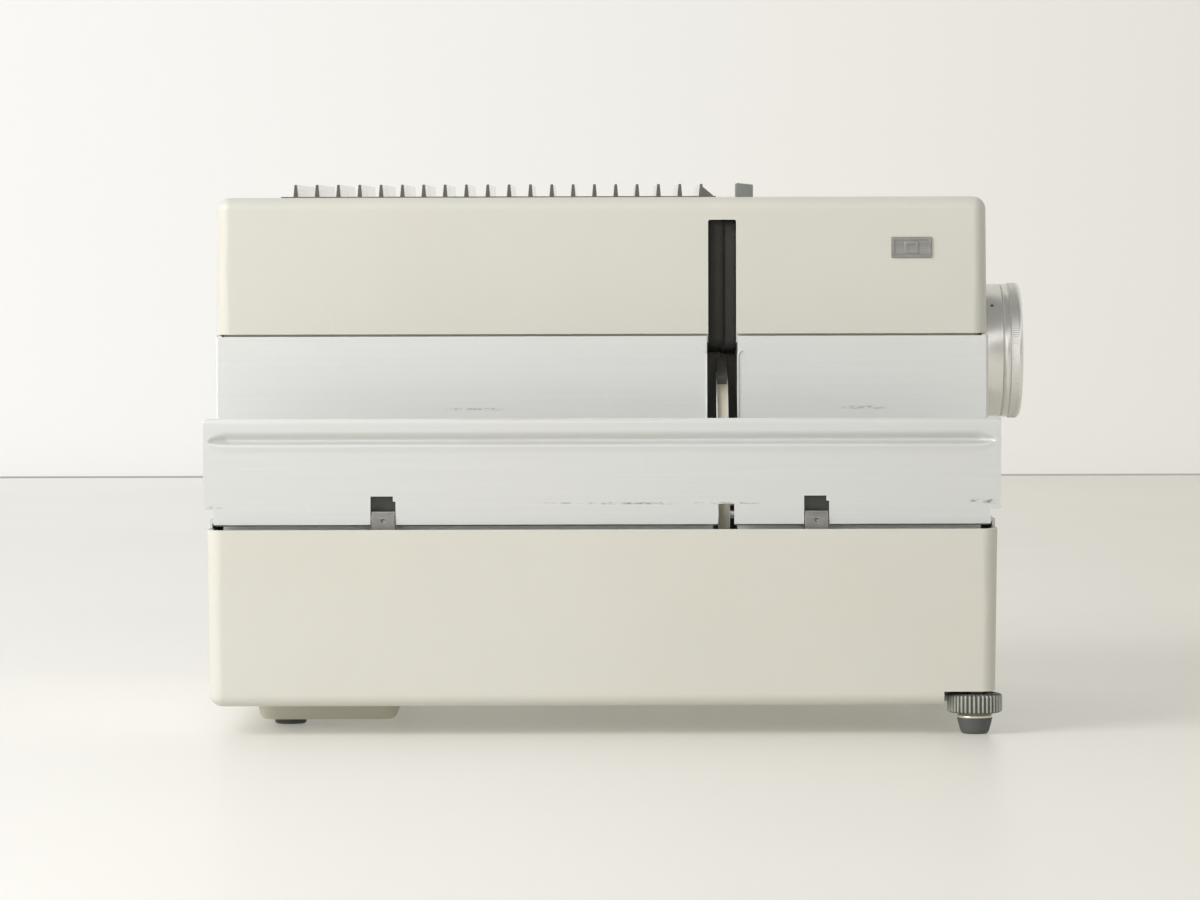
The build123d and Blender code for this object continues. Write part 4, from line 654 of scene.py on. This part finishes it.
# ---------------------------------------------------------------- folding flap
def make_flap():
    """The folding wall of the tray channel: thin sheet with a pressed groove, notches and a rolled top."""
    low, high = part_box("tray_flap")
    y = low.y
    x_mid = (low.x + high.x) / 2
    end = (high.x - low.x) / 2
    sheet = 1.0 * MM
    waist = end - 3.8 * MM
    ear = 83.6 * MM
    groove_end = end - 2.1 * MM
    notches = []
    for side in HINGE_SIDES:
        notches.append((case_x + (side - 4.63) * MM - x_mid, case_x + (side + 4.63) * MM - x_mid, 88.6 * MM))
    notches.append((*(case_x + x * MM - x_mid for x in CHANGER_NOTCH), 85.6 * MM))
    flat = 0.25
    taper = 6.4 * MM
    # height, and how far the sheet is pressed in there
    groove = [(112.8, 0.25), (112.3, 0.27), (111.8, 0.40), (111.2, 0.75), (110.6, 1.45), (110.1, 2.00),
              (109.6, 2.30), (109.2, 2.30), (108.9, 2.05), (108.5, 1.40), (108.1, 0.65), (107.8, 0.22),
              (107.4, 0.04), (107.0, 0.0), (106.5, 0.03), (106.0, 0.10), (105.4, 0.18), (104.8, 0.24),
              (104.2, 0.25)]
    across = {-end, end, -end + 0.5 * MM, end - 0.5 * MM, -end + 1.5 * MM, end - 1.5 * MM, -waist, waist}
    for a, b, top in notches:
        across |= {a, b, a - 0.4 * MM, b + 0.4 * MM}
    for k in range(13):
        across |= {groove_end - (taper + 0.2 * MM) * k / 12, -groove_end + (taper + 0.2 * MM) * k / 12}
    across |= {right - 1.0 * MM for _, right, _ in notches[:2]}
    for k in range(-9, 10):
        across.add(end * k / 10.2)
    kept = []
    for value in sorted(across):
        if not kept or value - kept[-1] > 0.00005:
            kept.append(value)
    across = kept
    foot_z = low.z + 0.5 * MM
    up = {foot_z, foot_z + 0.5 * MM, ear, high.z}
    up |= {z * MM for z in (84.4, 85.6, 86.7, 88.6, 89.2, 94, 99)}
    up |= {high.z - down * MM for down in (0.35, 0.8, 1.3, 1.9, 2.6)}
    up |= {z * MM for z, _ in groove}
    up = sorted(up)

    def push(x, z):
        """How far the sheet is pressed in, and where the line of the groove runs near its ends."""
        away = max(0.0, abs(x) - (groove_end - taper)) / taper
        share = 1.0 if away <= 0 else math.sqrt(max(0.0, 1 - away ** 2)) * (1 - 0.45 * away)
        mm = z / MM
        depth = flat
        if groove[-1][0] <= mm <= groove[0][0]:
            for (z0, d0), (z1, d1) in zip(groove, groove[1:]):
                if z1 <= mm <= z0:
                    depth = d1 + (d0 - d1) * (mm - z1) / (z0 - z1)
            middle_z = 108.6
            mm = middle_z + (mm - middle_z) * (0.35 + 0.65 * share)
        rolled = max(0.0, (mm - (high.z / MM - 1.9)) / 1.9)
        return (flat + (depth - flat) * share + rolled * rolled * 0.55) * MM, mm * MM

    index, points = {}, []
    for i, x in enumerate(across):
        for j, z in enumerate(up):
            depth, level = push(x, z)
            px, pz = x, level
            if abs(x) > end - 0.2 * MM and z > high.z - 0.2 * MM:
                px, pz = x - math.copysign(0.45 * MM, x), level - 0.45 * MM
            index[i, j] = len(points)
            points.append(Vector((x_mid + px, y + depth, pz)))

    def open_here(x, z):
        """Whether no sheet is there: beside the waist, or in a notch, save a hinge notch's right corner."""
        if z < ear and abs(x) > waist:
            return True
        for a, b, top in notches:
            if a < x < b and z < top:
                if top > 88 * MM and x > b - 1.0 * MM and z > 86.7 * MM:
                    return False
                return True
        return False

    faces = []
    for i in range(len(across) - 1):
        for j in range(len(up) - 1):
            if open_here((across[i] + across[i + 1]) / 2, (up[j] + up[j + 1]) / 2):
                continue
            faces.append((index[i, j], index[i + 1, j], index[i + 1, j + 1], index[i, j + 1]))
    used = sorted({v for face in faces for v in face})
    again = {v: k for k, v in enumerate(used)}
    piece = shell("flap_pressing", [points[v] for v in used], [tuple(again[v] for v in f) for f in faces])
    thicken(piece, sheet, -1.0)
    edge = piece.modifiers.new("corners", "BEVEL")
    edge.width = 0.22 * MM
    edge.segments = 2
    edge.limit_method = "ANGLE"
    edge.angle_limit = math.radians(50)
    level = piece.modifiers.new("even_faces", "WEIGHTED_NORMAL")
    level.keep_sharp = False
    # Dark strips on the back of the flap's lower edge, between its notches: painted shade that darkens the
    # gap below the flap.
    stops = [-waist + 0.3 * MM]
    for left, right, top in sorted(notches):
        stops += [left, right]
    stops.append(waist - 0.3 * MM)
    for number, (left, right) in enumerate(zip(stops[0::2], stops[1::2])):
        strip = []
        for x in (left + 0.4 * MM, right - 0.4 * MM):
            for back, rise in ((0.55, 0.0), (1.05, 0.0), (1.05, 1.4), (0.55, 1.4)):
                strip.append(Vector((x_mid + x, y + back * MM, low.z + rise * MM)))
        sides = [(0, 1, 2, 3), (7, 6, 5, 4), (0, 4, 5, 1), (1, 5, 6, 2), (2, 6, 7, 3), (3, 7, 4, 0)]
        shade_strip = outward(shell(f"flap_shade_strip_{number}", strip, sides, False))
        dress(shade_strip, black_lacquer_and_shade, "rubber", "flap")
    return dress(piece, flap_sheet, "aluminium", "flap", "tray_flap")


make_flap()


def make_flap_knuckles():
    """Rolled ears behind the flap that turn on the hinge pins."""
    for number, side in enumerate(HINGE_SIDES):
        for way in (-1, 1):
            x0, x1 = sorted(((side + way * 4.66) * MM, (side + way * 5.85) * MM))
            profile = [(x0, 1.06 * MM), (x1, 1.06 * MM), (x1, 1.85 * MM), (x1 - 0.1 * MM, 1.98 * MM),
                       (x0 + 0.1 * MM, 1.98 * MM), (x0, 1.85 * MM)]
            ear = turned_round(f"flap_knuckle_{number}_{way + 1}", profile, at(0, HINGE_Y, HINGE_Z), "X", 32)
            dress(ear, flap_sheet, "aluminium", "flap")


make_flap_knuckles()


def make_notch_shade_leaves():
    """Dark sheets behind the flap's notches, bent over at the top, on the channel's brackets: painted shade,
    dark sheets put where the notches show only shade, shaped like springs.
    """
    for number, side in enumerate(HINGE_SIDES):
        rows = []
        for y, z in ((-109.3, 79.9), (-109.45, 84.0), (-109.6, 87.2), (-109.95, 88.7), (-110.55, 89.3)):
            tuck = 0.5 if z > 89 else 0.0
            rows.append([at(side + x, y, z - (tuck if abs(x) > 6 else 0.0)) for x in (-6.4, -5.6, 5.6, 6.4)])
        shade_leaf = thicken(sheet_of(f"notch_shade_leaf_{number}", rows), 0.35 * MM)
        dress(shade_leaf, blued_spring_and_shade, "steel", "case")


make_notch_shade_leaves()


def rod(name, path, radius, sides=10):
    """A bar of round section along a list of points."""
    points = []
    for k, here in enumerate(path):
        along = (path[min(k + 1, len(path) - 1)] - path[max(k - 1, 0)]).normalized()
        first = along.orthogonal().normalized() if k == 0 else (first - along * first.dot(along)).normalized()
        second = along.cross(first)
        for j in range(sides):
            angle = 2 * math.pi * j / sides
            points.append(here + (first * math.cos(angle) + second * math.sin(angle)) * radius)
    faces = tube_faces(len(path), sides)
    faces.append(tuple(range(sides)))
    faces.append(tuple(reversed(range((len(path) - 1) * sides, len(path) * sides))))
    return outward(shell(name, points, faces))


def make_slot_dressing():
    """Rolled bright edges where the slide slot cuts the channel wall, and dark sheets inside it as painted
    shade for the slot's darkness, the lower ones painted lighter to lift that shade.
    """
    for number, way in enumerate((-1, 1)):
        edge = SLOT_X + way * 5.95
        path = [at(edge, CHANNEL_FACE_Y, z) for z in (111.0, 114, 118, 122, 126, 130, 134, 137, 139.3)]
        for k in range(1, 7):
            turn = math.pi / 2 * k / 6
            flare = edge + way * 1.5 * (1 - math.cos(turn))
            path.append(at(flare, CHANNEL_FACE_Y, 139.3 + 1.5 * math.sin(turn)))
        lip = rod(f"slot_lip_{number}", path, 0.32 * MM)
        dress(lip, channel_sheet, "aluminium", "case")
    fold = [(-60.2, 190.6), (-60.4, 176.0), (-60.6, 160.0), (-60.4, 146.0), (-59.6, 143.2), (-56.5, 141.9),
            (-52.0, 141.3), (-50.2, 140.2), (-49.6, 137.0), (-49.5, 125.0), (-49.5, 108.0)]
    # painted shade: dark sheets in the slot, the lower ones lighter
    for number, (left, right, back) in enumerate(((-6.3, 0.5, 0.0), (-0.5, 6.3, 0.7))):
        for part, line, finish in (("upper", fold[:8], slot_shade_felt), ("lower", fold[7:], slot_lifted_shade_felt)):
            rows = []
            for y, z in line:
                rows.append([at(SLOT_X + left + (right - left) * share, y + back, z - back)
                             for share in (0.0, 0.33, 0.67, 1.0)])
            shade_backing = thicken(sheet_of(f"slot_shade_backing_{part}_{number}", rows), 0.5 * MM)
            dress(shade_backing, finish, "rubber", "case")


make_slot_dressing()


# ---------------------------------------------------------------- lens
def make_lens():
    """Turned barrel, its retaining ring with a fine knurl, black stepped lining and a grub screw."""
    low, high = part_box("lens_barrel")
    ring_low, ring_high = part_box("lens_front_ring")
    centre = Vector((0.0, (ring_low.y + ring_high.y) / 2, (ring_low.z + ring_high.z) / 2))
    radius = (high.y - low.y) / 2
    ring_radius = (ring_high.y - ring_low.y) / 2
    bore, counterbore = 16.2 * MM, 18.1 * MM
    barrel = profile_from(low.x, (0, radius - 0.4 * MM), (0.4, radius))
    barrel += profile_from(high.x, (-9.0, radius), (-0.35, radius), (0, radius - 0.3 * MM),
                           (0, radius - 5.2 * MM), (-6.0, radius - 5.4 * MM), (-6.0, bore))
    barrel += profile_from(low.x, (8, bore), (8, counterbore), (0, counterbore))
    tube = turned_round("lens_tube", barrel, centre, "X", 160)
    dress(tube, lens_aluminium, "aluminium", "lens", "lens_barrel")
    x0, x1 = ring_low.x + 0.02 * MM, ring_high.x
    knurls = 190

    def knurled(angle, along, r):
        if r > ring_radius - 0.02 * MM and x1 - 4.5 * MM < along < x1 - 1.7 * MM:
            return r - 0.16 * MM * (0.5 + 0.5 * math.cos(knurls * angle))
        return r

    inner = 19.2 * MM
    ring = profile_from(x0, (0, radius - 0.12 * MM), (0.12, radius))
    ring += profile_from(
        x1, (-5.0, radius), (-4.9, radius - 0.15 * MM), (-4.65, radius - 0.15 * MM),
        (-4.5, ring_radius - 0.05 * MM), (-4.4, ring_radius), (-1.8, ring_radius),
        (-1.6, ring_radius - 0.06 * MM), (-1.1, ring_radius - 0.22 * MM), (-0.6, ring_radius - 0.62 * MM),
        (-0.2, ring_radius - 1.25 * MM), (0, ring_radius - 1.9 * MM), (0, ring_radius - 2.7 * MM),
        (-1.4, ring_radius - 3.4 * MM), (-2.2, inner + 1.0 * MM))
    ring += profile_from(x0, (2.0, inner + 0.2 * MM), (0, inner + 0.2 * MM))
    bezel = turned_round("lens_bezel", ring, centre, "X", knurls * 4, knurled)
    dress(bezel, ring_aluminium, "aluminium", "lens", "lens_front_ring")
    steps = []
    for k in range(9):
        x = -2.4 - 0.55 * k
        taper = 0.05 * k * MM
        steps += profile_from(x1, (x, inner + 0.12 * MM - taper), (x - 0.3, inner - 0.25 * MM - taper))
    closing = [(steps[-1][0], inner + 0.15 * MM), (x1 - 2.4 * MM, inner + 0.18 * MM)]
    lining = turned_round("lens_lining", steps + closing, centre, "X", 96)
    dress(lining, black_lacquer_and_shade, "black_metal", "lens")
    screw = profile_from(0.0, (0, 0.05 * MM), (0, 0.62 * MM), (0.25, 0.62 * MM), (0.25, 0.30 * MM),
                         (0.12, 0.05 * MM))
    outwards = Vector((0.0, -40.9 - LENS_AXIS_YZ[0], 157.6 - LENS_AXIS_YZ[1])).normalized()
    spot = centre + Vector((case_x + 149.3 * MM, 0.0, 0.0)) + outwards * (radius - 0.17 * MM)
    grub = turned_round("lens_grub_screw", screw, Vector((0, 0, 0)), "X", 24)
    turn = Vector((1, 0, 0)).rotation_difference(outwards).to_matrix().to_4x4()
    grub.data.transform(Matrix.Translation(spot) @ turn)
    dress(grub, black_lacquer_and_shade, "black_metal", "lens")


make_lens()


# ---------------------------------------------------------------- levelling feet
def make_levelling_foot(side):
    """Ribbed hand wheel on a screwed stem, with a bright collar and a tapered rubber pad."""
    wheel_node, pad_node = f"level_wheel_{side}", f"level_pad_{side}"
    centre = middle(wheel_node)
    low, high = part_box(wheel_node)
    wide = (high.x - low.x) / 2
    foot = Vector((centre.x, centre.y, 0.0))
    ribs = 38

    def ribbed(angle, along, r):
        if r < wide - 1.6 * MM:
            return r
        wave = 0.5 + 0.5 * math.cos(ribs * angle)
        ridge = min(1.0, max(0.0, (wave - 0.38) / 0.34))
        return r - 0.80 * MM * (1 - ridge)

    rim = [(7.8, 3.1), (7.8, 7.4)]
    tread = ((7.85, 1.2), (8.25, 0.25), (8.8, 0.0), (13.9, 0.0), (14.5, 0.25), (14.9, 1.2), (15.05, 1.9),
             (14.6, 2.5))
    rim += [(z, wide / MM - less) for z, less in tread]
    rim += [(14.6, 5.2), (15.1, 4.6), (15.1, 3.1)]
    wheel = turned_round(f"foot_wheel_{side}", in_metres(rim), foot, "Z", ribs * 10, ribbed)
    dress(wheel, wheel_plastic, "grey_plastic", f"{side}_wheel", wheel_node)
    thread = []
    z = 15.1
    while z < 33.4:
        thread += [(z, 2.62), (z + 0.4, 2.98), (z + 0.55, 2.98)]
        z += 0.95
    thread += [(33.8, 2.6), (33.8, 0.2), (8.0, 0.2), (8.0, 3.0), (15.0, 3.0)]
    stem = turned_round(f"foot_stem_{side}", in_metres(thread), foot, "Z", 40)
    dress(stem, plated_steel, "steel", f"{side}_wheel")
    collar = [(5.95, 0.4), (5.95, 6.3), (6.1, 6.62), (6.5, 6.65), (7.0, 6.4), (7.3, 6.15), (7.55, 6.1),
              (7.72, 5.9), (7.74, 0.4)]
    ferrule = turned_round(f"foot_collar_{side}", in_metres(collar), foot, "Z", 96)
    dress(ferrule, collar_metal, "aluminium", f"{side}_pad", pad_node)
    pad = [(0.0, 0.3), (0.0, 4.1), (0.15, 4.6), (0.5, 5.0), (1.2, 5.35), (2.2, 5.65), (3.2, 5.92), (4.3, 6.2),
           (5.2, 6.42), (5.7, 6.55), (5.95, 6.45), (5.95, 0.3)]
    boot = turned_round(f"foot_pad_{side}", in_metres(pad), foot, "Z", 96)
    dress(boot, foot_rubber, "rubber", f"{side}_pad")


make_levelling_foot("near")
make_levelling_foot("far")


# ---------------------------------------------------------------- changer arm
def make_changer_arm():
    """Pressed channel arm: a web between two upstanding flanges, on a turned hub."""
    low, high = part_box("changer_arm")
    x_mid = (low.x + high.x) / 2
    path = [ARM_PIVOT, (-94, 62), (-88, 82), (-64, 122), (-53, 132.4)]
    path = [Vector(p) for p in path]
    for _ in range(2):  # rounds the bends
        cut = [path[0]]
        for p, q in zip(path, path[1:]):
            cut += [p.lerp(q, 0.22), p.lerp(q, 0.78)]
        path = cut + [path[-1]]

    def across_arm(where, inward, pairs):
        """Points round the arm at one place along it: each pair is sideways and inwards in millimetres."""
        row = []
        for x, deep in pairs:
            spot = where + inward * deep
            row.append(at(0, spot.x, spot.y))
            row[-1].x = x_mid + x * MM
        return row

    points = []
    half, wall = 2.25, 0.4
    for k, here in enumerate(path):
        before, after = path[max(k - 1, 0)], path[min(k + 1, len(path) - 1)]
        along = (after - before).normalized()
        inward = Vector((along.y, -along.x))
        share = k / (len(path) - 1)
        rise = 1.15 if share < 0.82 else 1.15 - 1.0 * (share - 0.82) / 0.18
        loop = [(-half, -rise), (-half + wall, -rise), (-half + wall, 0.75), (half - wall, 0.75),
                (half - wall, -rise), (half, -rise), (half, 1.15), (-half, 1.15)]
        points += across_arm(here, inward, loop)
    faces = tube_faces(len(path), len(loop))
    last = (len(path) - 1) * len(loop)
    for quad in ((0, 1, 2, 7), (7, 2, 3, 6), (6, 3, 4, 5)):
        faces.append(quad)
        faces.append(tuple(last + v for v in reversed(quad)))
    arm = outward(shell("changer_arm_channel", points, faces, False))
    soften(arm, 0.10 * MM, 40, 1)
    dress(arm, channel_sheet, "aluminium", "changer", "changer_arm")
    # A beige band inside the channel, between the flanges: painted reflection of the warm room on the bare
    # web.
    painted = []
    for k in range(1, len(path) - 1):
        along = (path[k + 1] - path[k - 1]).normalized()
        inward = Vector((along.y, -along.x))
        painted += across_arm(path[k], inward, ((-1.78, 0.5), (-1.78, 0.72), (1.78, 0.72), (1.78, 0.5)))
    sides = tube_faces(len(path) - 2, 4)
    end = (len(path) - 3) * 4
    sides += [(0, 1, 2, 3), (end + 3, end + 2, end + 1, end)]
    web = outward(shell("changer_arm_web_reflection", painted, sides, False))
    dress(web, web_reflection_beige, "aluminium", "changer")
    hub = in_metres([(-2.25, 3.05), (2.25, 3.05), (2.25, 6.1), (1.9, 6.45), (-1.9, 6.45), (-2.25, 6.1)])
    centre = at(0, *ARM_PIVOT)
    centre.x = x_mid
    boss = turned_round("changer_arm_hub", hub, centre, "X", 64)
    dress(boss, plated_steel, "steel", "changer")


make_changer_arm()


# ---------------------------------------------------------------- carried-over parts
corner_width = {
    "lower_housing": 0.45, "upper_cover": 0.40, "base_plate": 0.25, "bottom_cover": 0.4, "rear_cover": 0.3,
    "tray_channel": 0.30, "louvre_grille": 0.12, "louvre_fins": 0.14, "top_button": 0.3,
    "flap_brackets": 0.18, "control_panel": 0.2, "forward_button": 0.2, "reverse_button": 0.2,
    "power_rocker": 0.4, "remote_socket": 0.2, "focus_knob": 0.2, "rear_feet": 0.2, "badge": 0.08,
    "arm_finger": 0.25, "case_screws": 0.15, "mains_inlet": 0.2,
    "chassis_deck": 0.2, "lamp_house": 0.2, "transformer_core": 0.3, "transformer_coils": 0.8,
    "board_components": 0.3, "mechanism_bracket": 0.2, "slide_chute": 0.15,
}
for name, piece in nodes.items():
    if piece.hide_render:
        continue
    finish = finish_of_node.get(name) or finish_of_slot[slot_of[name]]
    piece.data.materials.clear()
    piece.data.materials.append(finish.material)
    if name in corner_width:
        soften(piece, corner_width[name] * MM)


# ---------------------------------------------------------------- table, wall and light
def glowing_surface(name, colour, rough, mottle, scale, left, right, reach):
    """Paint with a faint mottle that glows with painted light, brighter on the window side of the room."""
    made = Finish(name, colour, rough, Emission_Strength=1.0)
    cloud = made.place(fine_grain, Scale=210.0, Patch_Scale=scale)
    made.tint(ramp(made.tree, cloud["Patches"], 0.3, 0.75), mottle, 0.6)
    made.bump(cloud["Height"], 0.0002, 0.08)
    made.roughen(cloud["Patches"], 0.12)
    glow = made.place(side_glow, Left=(*left, 1.0), Right=(*right, 1.0), Reach=reach)
    made.tree.links.new(glow["Colour"], made.shader.inputs["Emission Color"])
    return made


# The table and the wall glow as painted light, brighter on the window side; the table's glow lifts the shade
# beneath the projector.
table_top = glowing_surface("table_top", (0.62, 0.61, 0.575), 0.30, (0.60, 0.59, 0.55), 2.4,
                          (0.235, 0.233, 0.228), (0.15, 0.145, 0.125), 0.35)
wall_paint = glowing_surface("wall_paint", (0.42, 0.415, 0.40), 0.8, (0.41, 0.405, 0.385), 1.6,
                           (0.605, 0.605, 0.60), (0.46, 0.448, 0.41), 0.45)

eye = Vector((case_x - 0.74 * MM, case_low.y - 2.0, 0.190))
wall_y = eye.y + 4.068


def make_room():
    """A pale table top, and a pale wall that stands a little behind its back edge."""
    xs = [-9.0, -3.0, -1.0, 0.0, 1.0, 3.0, 9.0]
    ys = (eye.y - 6.0, -0.8, 0.6, wall_y - 0.03)
    table = sheet_of("table_surface", [[(x, y, 0.0) for x in xs] for y in ys])
    table.data.materials.append(table_top.material)
    wall = sheet_of("wall_surface", [[(x, wall_y, z) for x in reversed(xs)] for z in (0.0, 0.6, 5.0)])
    wall.data.materials.append(wall_paint.material)


make_room()

world = bpy.data.worlds.new("soft_room")
bpy.context.scene.world = world
world.use_nodes = True
sky = world.node_tree
height = sky.nodes.new("ShaderNodeSeparateXYZ")
wire(sky, (sky.nodes.new("ShaderNodeTexCoord").outputs["Generated"], height.inputs[0]))
bands = sky.nodes.new("ShaderNodeValToRGB")
bands.color_ramp.elements[0].position = 0.0
bands.color_ramp.elements[0].color = (0.62, 0.61, 0.585, 1.0)
bands.color_ramp.elements[1].position = 1.0
bands.color_ramp.elements[1].color = (0.30, 0.297, 0.29, 1.0)
for spot, tone in ((0.20, 0.66), (0.33, 1.80), (0.44, 1.80), (0.56, 0.52), (0.75, 0.32)):
    bands.color_ramp.elements.new(spot).color = (tone, tone * 0.985, tone * 0.95, 1.0)
wire(sky, (height.outputs["Z"], bands.inputs["Fac"]),
     (bands.outputs["Color"], sky.nodes["Background"].inputs["Color"]))
strength = sums(sky, "MULTIPLY_ADD", height.outputs["X"], -0.13, 0.69)
wire(sky, (strength, sky.nodes["Background"].inputs["Strength"]))


def soft_light(name, place, towards, size, power, colour):
    lamp = bpy.data.lights.new(name, "AREA")
    lamp.shape = "RECTANGLE"
    lamp.size, lamp.size_y = size
    lamp.energy = power
    lamp.color = colour
    holder = bpy.data.objects.new(name, lamp)
    bpy.context.scene.collection.objects.link(holder)
    holder.location = place
    holder.rotation_euler = (Vector(towards) - Vector(place)).to_track_quat("-Z", "Y").to_euler()
    return holder


soft_light("window_left", (-1.15, -0.95, 0.95), (0.0, -0.05, 0.08), (1.0, 1.0), 22.5, (1.0, 0.995, 0.985))
soft_light("room_front", (0.15, -2.9, 0.62), (0.0, 0.0, 0.06), (1.8, 0.9), 3.6, (1.0, 0.985, 0.95))

lens_of_camera = bpy.data.cameras.new("view")
lens_of_camera.lens = 163.14
lens_of_camera.sensor_width = 36.0
lens_of_camera.clip_end = 60.0
camera = bpy.data.objects.new("view", lens_of_camera)
bpy.context.scene.collection.objects.link(camera)
camera.location = eye
tilt = Matrix.Rotation(math.radians(90 - 2.411), 4, "X") @ Matrix.Rotation(math.radians(-0.14), 4, "Z")
camera.rotation_euler = tilt.to_euler()
bpy.context.scene.camera = camera
bpy.context.scene.view_settings.view_transform = "Standard"
